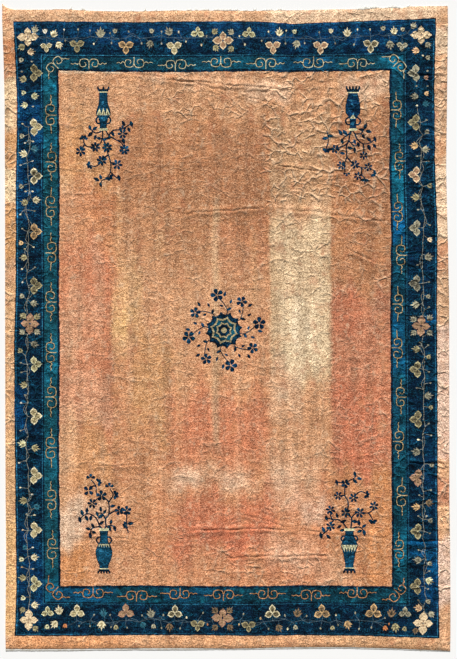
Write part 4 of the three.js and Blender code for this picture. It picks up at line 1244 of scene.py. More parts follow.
    (-106.9, 148.1, 5.5, 4.3, 2.4, 3.7, "cyan", 0.4), (-106.9, 114, 5.5, 4.3, 2.4, 3.7, "cyan", 0.4),
    *column(-106.9, 5.5, 3.7, [
        (32.2, 15.2, 12.2, "tealDark", 0.3), (-18.4, 13.4, 9.8, "cyan", 0.3),
        (-74.5, 12.2, 9.8, "cyan", 0.25), (-123.3, 18.3, 12.2, "tealDark", 0.25),
        (-156.9, 9.2, 6.1, "cyan", 0.4),
    ]),
    *column(104.8, 6.1, 3.7, [
        (131.7, 29.3, 12.2, "slateTeal", 0.5), (82.9, 12.2, 7.3, "cyan", 0.45),
        (60.3, 10.4, 7.3, "cyanBlue", 0.65), (22.5, 17.7, 12.2, "slateTeal", 0.5),
        (-12.9, 18.9, 12.2, "cyanBlue", 0.35), (-59.3, 27.4, 18.3, "slateTeal", 0.6),
        (-126.4, 39.6, 18.3, "tealDark", 0.35), (-134.3, 11, 6.1, "cyan", 0.45),
    ]),
    (-0.2, 160.9, 101.3, 7.3, 6.1, 2.4, "greyTeal", 0.8),
    (4.7, 161.6, 17.1, 5.5, 12.2, 3.7, "cyan", 0.25),
    (48, 160.3, 17.7, 5.5, 12.2, 3.7, "cyanBlue", 0.3),
    (100.5, 161.6, 7.9, 5.5, 3.7, 3.7, "cyan", 0.55),
    (-83.1, 161.6, 18.3, 5.5, 12.2, 3.7, "tealDark", 0.4),
    (-90.4, -162.4, 19.5, 6.1, 8.5, 3, "cyanBlue", 0.35),
    (17.5, -162.4, 88.5, 7.3, 12.2, 2.4, "tealDark", 0.6),
    (-19.1, -161.7, 21.3, 4.3, 12.2, 3.7, "cyanBlue", 0.2),
]}


def linear(colour):
    share = np.asarray(colour, float) / 255
    return np.where(share <= 0.04045, share / 12.92, ((share + 0.055) / 1.055) ** 2.4)


def washed(zone, x, y, colours):
    # colours are linear; x and y are in centimetres
    ripple = np.sin(y / 7.3 + 1.1) + 0.7 * np.sin(y / 2.9 + x / 21) + 0.5 * np.sin(x / 3.1 + y / 5.3)
    spread = np.sin(x / 6.1 + 0.4) + 0.8 * np.sin(x / 2.7 + y / 19) + 0.5 * np.sin(x / 1.3 + y / 11)
    for cx, cy, halfX, halfY, softX, softY, dye, amount in washes.get(zone, []):
        # a soft edge wanders, a sharp one runs straight along the warps
        offX = np.abs(x + 0.16 * softX * ripple - cx)
        offY = np.abs(y + 0.30 * softY * spread - cy)
        share = smooth((halfX + softX / 2 - offX) / softX) * smooth((halfY + softY / 2 - offY) / softY)
        colours = colours + (linear(dyes[dye]) - colours) * (share * amount)[:, None]
    return colours


def reliefPoints(fold, steps, spacing):
    # rows of points along a fold, off its crest by steps of its reach
    across, along, length, turn, bow = fold[:5]
    reach = fold[6]
    turn = math.radians(turn)
    runs = np.linspace(-1, 1, max(3, round(length / spacing)))
    points = []
    for number, share in enumerate(steps):
        shift = (number % 2) * 0.5 * (runs[1] - runs[0])
        right = (runs + shift) * length / 2
        up = share * reach + bow * (1 - runs * runs)
        points.append(np.column_stack([across + right * math.cos(turn) - up * math.sin(turn),
                                       along + right * math.sin(turn) + up * math.cos(turn)]))
    return np.concatenate(points)


netLook = {  # distances in millimetres
    "edgeStep": 11.0,  # between the points of the rug's edge
    "topInset": 2.5,  # how far in the top and the underside start
    "underInset": 1.5,
    "rowSpacing": 0.9,  # of a grid's rows, against its columns
    "foldSteps": [-1.2, -0.85, -0.6, -0.42, -0.28, -0.17, -0.08, 0, 0.08, 0.17, 0.28, 0.42, 0.6, 0.85, 1.2],
    "creaseSteps": [-2.1, -1.3, -0.65, 0, 0.65, 1.3, 2.1],
    "underSteps": [-1, -0.5, -0.2, 0, 0.2, 0.5, 1],
    "crumples": {5.0: 11.5, 2.9: 14.5, 2.0: 18.0},  # the least height and its spacing
    "broad": 3.6,  # the underside shows only shapes wider than this, in centimetres
}


def netGrid(cx, cy, halfX, halfY, spacing):
    # staggered rows of points over one patch
    columns = np.arange(-halfX, halfX, spacing)
    rows = np.arange(-halfY, halfY, spacing * netLook["rowSpacing"])
    gx, gy = np.meshgrid(columns, rows)
    gx = gx + (np.arange(len(rows)) % 2)[:, None] * spacing / 2
    return np.column_stack([cx + gx.ravel(), cy + gy.ravel()])


def foldNet(rows, steps, spacing):
    return np.concatenate([reliefPoints(row, np.array(steps), spacing) for row in rows])


def insideLoop(points, loop):
    # even and odd crossings of the loop decide
    inside = np.zeros(len(points), bool)
    x, y = points[:, 0], points[:, 1]
    ahead = np.roll(loop, -1, axis=0)
    for (ax, ay), (bx, by) in zip(loop, ahead):
        if ay == by:
            continue
        crosses = (ay > y) != (by > y)
        inside ^= crosses & (x < (bx - ax) * (y - ay) / (by - ay) + ax)
    return inside


def thinned(groups, taken):
    # from each group of points, drops those that share a cell of its size with an earlier point
    kept = [taken]
    for points, cell in groups:
        seen = {(round(x / cell), round(y / cell)) for group in kept for x, y in group}
        fresh = []
        for x, y in points:
            key = (round(x / cell), round(y / cell))
            if key not in seen:
                seen.add(key)
                fresh.append((x, y))
        kept.append(np.array(fresh).reshape(-1, 2))
    return np.concatenate(kept[1:])


def cutSheet(edge, drawnShapes, net, margin):
    # triangles of the plan, each with the yarn of the topmost shape over it
    outlines = [edge] + [points * perCm for points, _ in drawnShapes]
    colour = [yarnNames.index("band")] + [yarn for _, yarn in drawnShapes]
    within = inset(edge, margin)
    net = [(points[insideLoop(points, within)], cell) for points, cell in net]
    free = thinned(net, np.concatenate(outlines))
    verts, faces = [], []
    for points in outlines:
        faces.append(list(range(len(verts), len(verts) + len(points))))
        verts += [Vector(p) for p in points]
    verts += [Vector(p) for p in free]
    out = delaunay_2d_cdt(verts, [], faces, 0, 1e-3, True)
    plan = np.array([tuple(v) for v in out[0]])
    # a shape counts only within its own bounds, whatever the net says
    lows = np.array([points.min(0) for points in outlines])
    highs = np.array([points.max(0) for points in outlines])
    triangles, yarn = [], []
    for face, over in zip(out[2], out[5]):
        middle = plan[list(face)].mean(0)
        over = [shape for shape in over if np.all(lows[shape] <= middle) and np.all(middle <= highs[shape])]
        if 0 in over:
            triangles.append(face)
            yarn.append(colour[max(over)])
    triangles, yarn = np.array(triangles), np.array(yarn)
    a, b, c = (plan[triangles[:, i]] for i in range(3))
    turned = (b[:, 0] - a[:, 0]) * (c[:, 1] - a[:, 1]) - (b[:, 1] - a[:, 1]) * (c[:, 0] - a[:, 0])
    triangles[turned < 0] = triangles[turned < 0][:, ::-1]
    # where each of the edge's own points went
    place = {}
    for i, sources in enumerate(out[3]):
        for source in sources:
            place.setdefault(source, i)
    rim = np.array([place[i] for i in range(len(edge))])
    return plan, triangles, yarn, rim


edgeLoop = outline(netLook["edgeStep"])
topEdge = inset(edgeLoop, netLook["topInset"])
rounded = [inset(edgeLoop, netLook["topInset"] + pileLook[key] * share)
           for key, share in (("edgeRound", 0.45), ("edgeRound", 1), ("endRound", 1))]
# each net's points and the size of the cell in which only one of them is kept
topNet = [(np.concatenate(rounded), 2.6), (foldNet(folds, netLook["foldSteps"], 14.0), 6.0),
          (foldNet(fineFolds, netLook["creaseSteps"], 12.0), 5.0)]
for least, spacing in netLook["crumples"].items():
    patches = [netGrid(cx * perCm, cy * perCm, halfX * perCm, halfY * perCm, spacing)
               for cx, cy, halfX, halfY, _, height, *_ in crumples if least < height]
    topNet.append((np.concatenate(patches), spacing * 0.85))
topNet.append((netGrid(0, 0, halfWidth, halfLength, 24.0), 18.0))
topPlan, topFaces, topYarn, topRim = cutSheet(topEdge, shapes, topNet, 2.6)
print("top cut", len(topPlan), "points", len(topFaces), "triangles")

broad = [(p[::2], y) for p, y in shapes if len(p) > 6 and np.ptp(p, axis=0).max() > netLook["broad"]]
underNet = [(foldNet(folds, netLook["underSteps"], 50.0), 20.0),
            (netGrid(0, 0, halfWidth, halfLength, 90.0), 60.0)]
underEdge = inset(edgeLoop, netLook["underInset"])
underPlan, underFaces, underYarn, underRim = cutSheet(underEdge, broad, underNet, 6.0)
print("underside cut", len(underPlan), "points", len(underFaces), "triangles")


def edgeFall(x, y, loop):
    # how far the pile's top drops close to the rug's edge; points well inside aren't measured
    nearest = np.full(len(x), 1e9)
    close = (np.abs(x) > halfWidth - 60) | (np.abs(y) > halfLength - 110)
    px, py = x[close], y[close]
    best = np.full(len(px), 1e9)
    for ax, ay in loop:
        best = np.minimum(best, (px - ax) ** 2 + (py - ay) ** 2)
    nearest[close] = np.sqrt(best)
    fall = pileLook["edgeDrop"] * (1 - smooth(nearest / pileLook["edgeRound"]))
    atEnd = np.abs(y) > halfLength - pileLook["endZone"]
    return fall + np.where(atEnd, pileLook["endDrop"] * (1 - smooth(nearest / pileLook["endRound"])), 0)


def newMesh(name, verts, faces):
    # from places in millimetres
    mesh = bpy.data.meshes.new(name)
    mesh.from_pydata([tuple(v) for v in np.array(verts) * mm], [], faces)
    mesh.update()
    return mesh


sideRings = ((0.4, 0.82), (0.0, 0.48), (0.3, 0.18))  # how far in and how high the rug's side bends
topPart, wallPart, underPart = 0, 1, 2  # what each face of the pile's mesh belongs to


def buildRug():
    topZ = topHeight(topPlan[:, 0], topPlan[:, 1]) - edgeFall(topPlan[:, 0], topPlan[:, 1], topEdge)
    underZ = lift(underPlan[:, 0], underPlan[:, 1])
    atEnd = np.abs(edgeLoop[:, 1]) > halfLength - pileLook["endZone"]
    edgeHigh = thickness - pileLook["edgeDrop"] - np.where(atEnd, pileLook["endDrop"], 0)
    groups = [np.column_stack([topPlan, topZ])]
    lines = [topRim]
    count = len(edgeLoop)
    shift = len(topPlan)
    for distance, share in sideRings:
        loop = inset(edgeLoop, distance)
        groups.append(np.column_stack([loop, lift(loop[:, 0], loop[:, 1]) + edgeHigh * share]))
        lines.append(shift + np.arange(count))
        shift += count
    groups.append(np.column_stack([underPlan, underZ]))
    lines.append(shift + underRim)
    walls = []
    for upper, lower in zip(lines, lines[1:]):
        strip = zip(upper, lower, np.roll(lower, -1), np.roll(upper, -1))
        walls += [tuple(int(i) for i in face) for face in strip]
    unders = [tuple(int(i) + shift for i in face[::-1]) for face in underFaces]
    verts = np.concatenate(groups)
    mesh = newMesh("rugPile", verts, [tuple(face) for face in topFaces] + walls + unders)
    yarn = np.concatenate([topYarn, np.full(len(walls), yarnNames.index("band")), underYarn])
    part = np.repeat([topPart, wallPart, underPart], [len(topFaces), len(walls), len(unders)])
    return mesh, verts * mm, yarn, part


def corners(mesh):
    # each face corner's point, and how many corners each face has
    points = np.empty(len(mesh.loops), int)
    mesh.loops.foreach_get("vertex_index", points)
    totals = np.empty(len(mesh.polygons), int)
    mesh.polygons.foreach_get("loop_total", totals)
    return points, totals


wrinkleFull = 5.0  # crumples of this height in millimetres wrinkle fully


def paint(mesh, verts, yarn, part):
    # each corner gets its yarn's colour, shifted by the washes over that place
    points, totals = corners(mesh)
    yarnHere = np.repeat(yarn, totals)
    zoneOfYarn = np.array([zones.index(yarns[name][0]) for name in yarnNames])
    colours = np.array([linear(yarns[name][1]) for name in yarnNames])[yarnHere]
    x, y = verts[points, 0] / cm, verts[points, 1] / cm
    for number, zone in enumerate(zones):
        here = zoneOfYarn[yarnHere] == number
        colours[here] = washed(zone, x[here], y[here], colours[here])
    colours = np.column_stack([colours, np.ones(len(colours))]).ravel().astype(np.float32)
    mesh.color_attributes.new("yarn", "FLOAT_COLOR", "CORNER").data.foreach_set("color", colours)
    # where the wool's own fine wrinkles show
    wrinkled = np.zeros(len(verts))
    for row in crumples:
        share = crumpleShare(verts[:, 0] / mm, verts[:, 1] / mm, row)
        wrinkled = np.maximum(wrinkled, share * row[5] / wrinkleFull)
    mesh.attributes.new("wrinkled", "FLOAT", "POINT").data.foreach_set("value", wrinkled.astype(np.float32))
    slots = np.where(part == underPart, len(zones), zoneOfYarn[yarn])  # the back's material comes last
    mesh.polygons.foreach_set("material_index", slots.astype(np.int32))


mapLook = {
    "fill": 0.98, "left": 0.006, "low": 0.01,  # the top's share of the picture's height, and its place
    "side": 0.015,  # metres round it for the sides, which fold out
    "sideX": 0.045, "sideY": 0.06,  # how far in from the plain rectangle a side may be
    "underX": 0.71, "underY": 0.02, "underWidth": 0.28,  # the underside's place and width
}


def layMap(mesh, verts, part):
    # the map gives the top most of the picture, with the sides folded out round it
    points, totals = corners(mesh)
    partHere = np.repeat(part, totals)
    halfX, halfY, side = halfWidth * mm, halfLength * mm, mapLook["side"]
    scale = mapLook["fill"] / (2 * halfLength * mm + 2 * side)
    x, y, z = verts[points].T
    over = np.where(partHere == wallPart, np.maximum(0, (thickness - pileLook["edgeDrop"]) * mm - z), 0)
    outX = np.where(np.abs(x) > halfX - mapLook["sideX"], np.sign(x) * over, 0)
    outY = np.where(np.abs(y) > halfY - mapLook["sideY"], np.sign(y) * over, 0)
    u = mapLook["left"] + (x + outX + halfX + side) * scale
    v = mapLook["low"] + (y + outY + halfY + side) * scale
    underScale = mapLook["underWidth"] / (2 * halfWidth * mm)
    u = np.where(partHere == underPart, mapLook["underX"] + (x + halfX) * underScale, u)
    v = np.where(partHere == underPart, mapLook["underY"] + (y + halfY) * underScale, v)
    layer = mesh.uv_layers.new(name="OFBake")
    layer.data.foreach_set("uv", np.column_stack([u, v]).ravel().astype(np.float32))


def finish(mesh, materials):
    for material in materials:
        mesh.materials.append(material)
    mesh.polygons.foreach_set("use_smooth", np.ones(len(mesh.polygons), bool))


class Nodes:
    # a short way to write a node tree
    def __init__(self, name):
        self.material = bpy.data.materials.new(name)
        self.material.use_nodes = True
        self.tree = self.material.node_tree
        self.shader = self.tree.nodes["Principled BSDF"]
        self.place = self.add("ShaderNodeTexCoord").outputs["Object"]

    def add(self, kind, **settings):
        node = self.tree.nodes.new(kind)
        for key, value in settings.items():
            setattr(node, key, value)
        return node

    def plug(self, output, socket):
        self.tree.links.new(output, socket)

    def noise(self, scale, stretch=(1, 1, 1), detail=2.0, rough=0.5):
        mapping = self.add("ShaderNodeMapping")
        mapping.inputs["Scale"].default_value = stretch
        self.plug(self.place, mapping.inputs["Vector"])
        node = self.add("ShaderNodeTexNoise")
        node.inputs["Scale"].default_value = scale
        node.inputs["Detail"].default_value = detail
        node.inputs["Roughness"].default_value = rough
        self.plug(mapping.outputs["Vector"], node.inputs["Vector"])
        return node.outputs["Fac"]

    def edges(self, scale, width, sway):
        # thin lines between cells, on a place that a slow noise has bent
        bend = self.add("ShaderNodeTexNoise")
        bend.inputs["Scale"].default_value = scale * 0.7
        self.plug(self.place, bend.inputs["Vector"])
        offset = self.add("ShaderNodeVectorMath", operation="MULTIPLY_ADD")
        self.plug(bend.outputs["Color"], offset.inputs[0])
        offset.inputs[1].default_value = (sway, sway, 0)
        self.plug(self.place, offset.inputs[2])
        cells = self.add("ShaderNodeTexVoronoi", feature="DISTANCE_TO_EDGE", voronoi_dimensions="2D")
        cells.inputs["Scale"].default_value = scale
        self.plug(offset.outputs[0], cells.inputs["Vector"])
        return self.ranged(cells.outputs["Distance"], 0, width, 1, 0)

    def ranged(self, value, low, high, toLow, toHigh):
        node = self.add("ShaderNodeMapRange")
        for name, number in (("From Min", low), ("From Max", high), ("To Min", toLow), ("To Max", toHigh)):
            node.inputs[name].default_value = number
        self.plug(value, node.inputs["Value"])
        return node.outputs["Result"]

    def maths(self, operation, a, b):
        node = self.add("ShaderNodeMath", operation=operation)
        for socket, value in zip(node.inputs, (a, b)):
            if isinstance(value, (int, float)):
                socket.default_value = value
            else:
                self.plug(value, socket)
        return node.outputs[0]

    def times(self, a, b):
        return self.maths("MULTIPLY", a, b)

    def plus(self, a, b):
        return self.maths("ADD", a, b)

    def scaled(self, colour, value):
        node = self.add("ShaderNodeVectorMath", operation="SCALE")
        self.plug(colour, node.inputs[0])
        self.plug(value, node.inputs["Scale"])
        return node.outputs[0]

    def mixed(self, factor, a, b, blend="MIX"):
        node = self.add("ShaderNodeMix", data_type="RGBA", blend_type=blend)
        self.plug(factor, node.inputs["Factor"])
        for socket, value in ((node.inputs[6], a), (node.inputs[7], b)):  # its two colours
            if isinstance(value, tuple):
                socket.default_value = (*value, 1)
            else:
                self.plug(value, socket)
        return node.outputs[2]  # the mixed colour

    def bump(self, height, strength, distance):
        node = self.add("ShaderNodeBump")
        node.inputs["Strength"].default_value = strength
        node.inputs["Distance"].default_value = distance
        self.plug(height, node.inputs["Height"])
        self.plug(node.outputs["Normal"], self.shader.inputs["Normal"])


# Speckle, streak, blotch and abrash say how far each lightens and darkens the yarn; in the field the abrash
# bands are
# # also strengthened to stand in for painted shade on gentle slopes. Crest is a painted highlight on the
# tops of wrinkles,
# # and the shade tint and amount are painted shade deep between the tufts. Patches of another tint: scale,
# the noise's
# # value where they start and are full, amount, tint.
pileZones = {
    "peach": {
        "speckle": 0.54, "streak": 0.10, "blotch": 0.13, "abrashAndShade": 0.19, "wear": 0.46, "crest": 0.34,
        "sheen": 0.10, "shine": 0.15, "shadeAmount": 0.9, "worn": (0.90, 0.68, 0.46),
        "shadeTint": (1.0, 0.82, 0.68),
        "patches": ((16.0, 0.54, 0.70, 0.45, (0.54, 0.185, 0.09)),
                    (25.0, 0.60, 0.72, 0.45, (0.82, 0.58, 0.38)),
                    (9.0, 0.56, 0.70, 0.40, (0.68, 0.30, 0.13)))},
    "navy": {
        "speckle": 0.62, "streak": 0.45, "blotch": 0.62, "abrashAndShade": 0.35, "wear": 0.46, "crest": 0.08,
        "sheen": 0.012, "shine": 0.06, "shadeAmount": 0.5, "worn": (0.02, 0.26, 0.44),
        "shadeTint": (0.7, 0.85, 0.9),
        "patches": ((24.0, 0.62, 0.74, 0.30, (0.02, 0.20, 0.36)),)},
    "teal": {
        "speckle": 0.50, "streak": 0.45, "blotch": 0.60, "abrashAndShade": 0.30, "wear": 0.34, "crest": 0.10,
        "sheen": 0.015, "shine": 0.08, "shadeAmount": 0.5, "worn": (0.03, 0.36, 0.50),
        "shadeTint": (0.7, 0.85, 0.9),
        "patches": ((20.0, 0.58, 0.72, 0.45, (0.015, 0.26, 0.38)),)},
    "motif": {
        "speckle": 0.36, "streak": 0.22, "blotch": 0.15, "abrashAndShade": 0.05, "wear": 0.16, "crest": 0.05,
        "sheen": 0.06, "shine": 0.12, "shadeAmount": 0.5, "worn": (0.74, 0.66, 0.46),
        "shadeTint": (0.95, 0.85, 0.72),
        "patches": ()},
}
# Scales are in features per metre and depths in metres.
pileShared = {
    "tuft": 150.0, "streakScale": 110.0, "streakLong": 0.14, "blotchScale": 13.0, "abrashAndShadeScale": 22.0,
    "abrashAndShadeLong": 0.07, "wornScale": 30.0, "waveScale": 20.0, "waveDepth": 0.0055, "bumpDepth": 0.0050,
    "wrinkledAll": 0.32, "rough": 0.92, "sheenRough": 0.6,
}
# Wrinkles per metre, their width as a share of their spacing, how far they sway, their height,
# the scale of the gaps between them and the noise's value above which there is no gap.
wrinkleLook = ((8.0, 0.10, 0.13, 0.0080, 6.0, 0.50), (18.0, 0.17, 0.08, 0.0062, 9.0, 0.46))


def pileMaterial(zone):
    look = pileZones[zone]
    nodes = Nodes("woolPile" + zone.capitalize())
    yarn = nodes.add("ShaderNodeAttribute", attribute_name="yarn").outputs["Color"]
    tuft = nodes.noise(pileShared["tuft"], (1, 1.1, 1), 1.6, 0.7)
    streak = nodes.noise(pileShared["streakScale"], (pileShared["streakLong"], 1, 1), 3.0, 0.6)
    blotch = nodes.noise(pileShared["blotchScale"], (1, 1.3, 1), 4.0, 0.6)
    abrashAndShade = nodes.noise(pileShared["abrashAndShadeScale"], (1, pileShared["abrashAndShadeLong"], 1), 3.0, 0.6)
    gain = nodes.ranged(tuft, 0.38, 0.62, 1 - look["speckle"] * 0.9, 1 + look["speckle"] * 1.1)
    for value, key in ((streak, "streak"), (blotch, "blotch"), (abrashAndShade, "abrashAndShade")):
        gain = nodes.times(gain, nodes.ranged(value, 0.34, 0.66, 1 - look[key], 1 + look[key]))
    # painted shade: deep between the tufts the yarn is darkened and tinted, as where light has bounced in
    # the pile
    deep = nodes.ranged(tuft, 0.34, 0.56, look["shadeAmount"], 0)
    colour = nodes.mixed(deep, nodes.scaled(yarn, gain), look["shadeTint"], "MULTIPLY")
    wornHere = nodes.noise(pileShared["wornScale"], (0.7, 1.4, 1), 3.0)
    wornHere = nodes.times(nodes.ranged(tuft, 0.50, 0.68, 0, look["wear"]),
                           nodes.ranged(wornHere, 0.42, 0.62, 0.1, 1))
    # wrinkles stand up a little, and their tops are lightened: a painted highlight, mixed in with the worn
    # tint of the wear flecks
    wrinkled = nodes.add("ShaderNodeAttribute", attribute_name="wrinkled").outputs["Fac"]
    wrinkled = nodes.maths("MAXIMUM", wrinkled, pileShared["wrinkledAll"])
    wave = nodes.noise(pileShared["waveScale"], (0.6, 1.3, 1), 3.0, 0.5)
    grain = nodes.noise(pileShared["tuft"], (1.7, 1.0, 1), 1.5, 0.6)
    height = nodes.plus(nodes.times(grain, pileShared["bumpDepth"]),
                        nodes.times(wave, pileShared["waveDepth"]))
    for scale, width, sway, high, gaps, least in wrinkleLook:
        ridge = nodes.times(nodes.edges(scale, width, sway),
                            nodes.ranged(nodes.noise(gaps, (1, 1.3, 1), 2.0), least, least + 0.11, 0, 1))
        ridge = nodes.times(ridge, wrinkled)
        height = nodes.plus(height, nodes.times(ridge, high))
        wornHere = nodes.plus(wornHere, nodes.times(ridge, look["crest"]))
    nodes.bump(height, 1.0, 1.0)
    for scale, low, high, share, tint in look["patches"]:
        patch = nodes.ranged(nodes.noise(scale, (1, 0.7, 1), 3.0, 0.6), low, high, 0, share)
        colour = nodes.mixed(patch, colour, tint)
    colour = nodes.mixed(wornHere, colour, look["worn"])
    nodes.plug(colour, nodes.shader.inputs["Base Color"])
    rough = nodes.ranged(tuft, 0.3, 0.7, pileShared["rough"] - 0.06, 1.0)
    nodes.plug(rough, nodes.shader.inputs["Roughness"])
    nodes.shader.inputs["Specular IOR Level"].default_value = look["shine"]
    nodes.shader.inputs["Sheen Weight"].default_value = look["sheen"]
    nodes.shader.inputs["Sheen Roughness"].default_value = pileShared["sheenRough"]
    return nodes.material


backLook = {
    "knot": 4.2 * mm, "rows": 0.8, "distort": 0.6, "depth": 0.0009, "rough": 0.9, "grime": 7.0,
    "cotton": (0.62, 0.56, 0.46),  # the warps that show between the knots
}


def waveBands(nodes, direction, pitch, distortion):
    # even bands, pitch metres apart
    wave = nodes.add("ShaderNodeTexWave", wave_type="BANDS", bands_direction=direction, wave_profile="SIN")
    wave.inputs["Scale"].default_value = math.pi / 10 / pitch
    wave.inputs["Distortion"].default_value = distortion
    nodes.plug(nodes.place, wave.inputs["Vector"])
    return wave.outputs["Fac"]


def backMaterial():
    # the woven back: the same yarns, duller, in rows of knots
    look = backLook
    nodes = Nodes("wovenBack")
    yarn = nodes.add("ShaderNodeAttribute", attribute_name="yarn").outputs["Color"]
    knots = nodes.times(waveBands(nodes, "X", look["knot"], look["distort"]),
                        waveBands(nodes, "Y", look["knot"] * look["rows"], look["distort"]))
    grime = nodes.noise(look["grime"], (1, 1, 1), 5.0, 0.6)
    gain = nodes.times(nodes.ranged(knots, 0, 1, 0.72, 1.12), nodes.ranged(grime, 0.3, 0.7, 0.85, 1.1))
    colour = nodes.scaled(yarn, gain)
    colour = nodes.mixed(nodes.ranged(knots, 0.0, 0.25, 0.30, 0.05), colour, look["cotton"])
    nodes.plug(colour, nodes.shader.inputs["Base Color"])
    nodes.shader.inputs["Roughness"].default_value = look["rough"]
    nodes.shader.inputs["Specular IOR Level"].default_value = 0.2
    nodes.bump(knots, 0.7, look["depth"])
    return nodes.material


cottonLook = {
    "warp": 3.2 * mm, "distort": 1.5, "depth": 0.0008, "rough": 0.92, "dustScale": 40.0, "fibreScale": 520.0,
    "clean": (0.84, 0.83, 0.78), "dusty": (0.56, 0.49, 0.38), "dust": 0.8,
}


def cottonMaterial():
    # flat-woven cotton: warps run to the edge, a little dusty
    look = cottonLook
    nodes = Nodes("undyedCotton")
    warps = waveBands(nodes, "X", look["warp"], look["distort"])
    dust = nodes.noise(look["dustScale"], (1, 1, 1), 4.0, 0.7)
    fibre = nodes.noise(look["fibreScale"], (1, 0.3, 1), 2.0, 0.6)
    colour = nodes.mixed(nodes.ranged(dust, 0.42, 0.7, 0, look["dust"]), look["clean"], look["dusty"])
    gain = nodes.times(nodes.ranged(warps, 0, 1, 0.86, 1.04),
                       nodes.ranged(fibre, 0.3, 0.7, 0.92, 1.05))
    nodes.plug(nodes.scaled(colour, gain), nodes.shader.inputs["Base Color"])
    nodes.shader.inputs["Roughness"].default_value = look["rough"]
    nodes.shader.inputs["Specular IOR Level"].default_value = 0.2
    nodes.bump(nodes.plus(warps, fibre), 0.6, look["depth"])
    return nodes.material


def addPiece(name, data):
    piece = bpy.data.objects.new(name, data)
    bpy.context.scene.collection.objects.link(piece)
    return piece


rugMesh, rugVerts, rugYarn, rugPart = buildRug()
finish(rugMesh, [*map(pileMaterial, zones), backMaterial()])
paint(rugMesh, rugVerts, rugYarn, rugPart)
layMap(rugMesh, rugVerts, rugPart)
rugPile = addPiece("rugPile", rugMesh)
print("pile laid", len(rugMesh.polygons), "faces")

cotton = cottonMaterial()
webLook = {  # in millimetres
    "thickness": 2.2, "seam": 0.3,
    "rows": ((0, 0.8, 0), (0.35, 1.0, 0.2), (0.7, 0.85, 0.3), (1.0, 0.45, 0)),  # out, thickness, lift
    "ragged": 0.8, "wavy": 4, "least": 2.5, "out": 1.2,  # the near web's edge
    "farFrom": -1180, "farTo": 1352, "farReach": 3, "farBody": 0.55, "torn": 0.9,  # the far web
    "tuftStep": 3.4, "tuftSag": 3.0, "tuftWidest": 2.1, "tuftThinnest": 1.1,
}


def webStrip(name, inner, outer):
    # a thin closed strip between two lines
    count = len(inner)
    rows = webLook["rows"]
    grid = np.stack([inner + (outer - inner) * share for share, _, _ in rows])
    verts, faces = [], []
    for level in (1, 0):
        for line, (_, thick, rise) in zip(grid, rows):
            low = lift(line[:, 0], line[:, 1]) + rise
            verts.append(np.column_stack([line, low + level * thick * webLook["thickness"]]))

    def at(level, row, i):
        return (level * len(rows) + row) * count + i

    for i in range(count - 1):
        for row in range(3):
            faces.append((at(0, row, i), at(0, row, i + 1), at(0, row + 1, i + 1), at(0, row + 1, i)))
            faces.append((at(1, row, i), at(1, row + 1, i), at(1, row + 1, i + 1), at(1, row, i + 1)))
        faces.append((at(0, 0, i + 1), at(0, 0, i), at(1, 0, i), at(1, 0, i + 1)))
        faces.append((at(0, 3, i), at(0, 3, i + 1), at(1, 3, i + 1), at(1, 3, i)))
    for i, flip in ((0, False), (count - 1, True)):
        for row in range(3):
            face = (at(0, row, i), at(0, row + 1, i), at(1, row + 1, i), at(1, row, i))
            faces.append(face[::-1] if flip else face)
    return cottonPiece(name, np.concatenate(verts), faces)


def cottonPiece(name, verts, faces):
    mesh = newMesh(name, verts, faces)
    finish(mesh, [cotton])
    piece = addPiece(name, mesh)
    outwards(piece)
    return piece


def outwards(piece):
    bpy.ops.object.select_all(action="DESELECT")
    bpy.context.view_layer.objects.active = piece
    piece.select_set(True)
    bpy.ops.object.mode_set(mode="EDIT")
    bpy.ops.mesh.select_all(action="SELECT")
    bpy.ops.mesh.normals_make_consistent(inside=False)
    bpy.ops.object.mode_set(mode="OBJECT")
    piece.select_set(False)


def endLine(across, along):
    return np.column_stack(drawn(across, np.full_like(across, along)))


def roughness(count, width):
    # random ups and downs, each the mean of width neighbours
    return np.convolve(rng.normal(0, 1, count), np.ones(width) / width, "same")


webX = np.linspace(-halfWidth, halfWidth, 640)
pileNear = endLine(webX, -halfLength)
ragged = roughness(len(webX), 3) * webLook["ragged"]
ragged += roughness(len(webX), 25) * webLook["wavy"]
nearY = insetAt(rugEnds, 3, webX) - halfLength + webLook["out"] + np.abs(ragged)
outerNear = np.column_stack([pileNear[:, 0], np.minimum(nearY, pileNear[:, 1] - webLook["least"])])
nearWeb = webStrip("nearWebCotton", pileNear + (0, -webLook["seam"]), outerNear)


def farReach(x):
    # how far the torn web reaches, longest where a tuft is left
    reach = np.full_like(x, webLook["farReach"])
    for start, stop, tip, rise in farTufts:
        share = np.clip(np.minimum(x - start, stop - x) / rise, 0, 1)
        reach = np.maximum(reach, webLook["farReach"] + (tip - webLook["farReach"]) * share)
    return reach


farX = np.linspace(webLook["farFrom"], webLook["farTo"], 700)
pileFar = endLine(np.linspace(-halfWidth, halfWidth, 900), halfLength)
innerFar = np.column_stack([farX, np.interp(farX, *pileFar.T) + webLook["seam"]])
body = 2.2 + (farReach(farX) - webLook["farReach"]) * webLook["farBody"]
body = body + np.abs(roughness(len(farX), 3)) * webLook["torn"]
farWeb = webStrip("farWebCotton", innerFar, np.column_stack([farX, innerFar[:, 1] + body]))


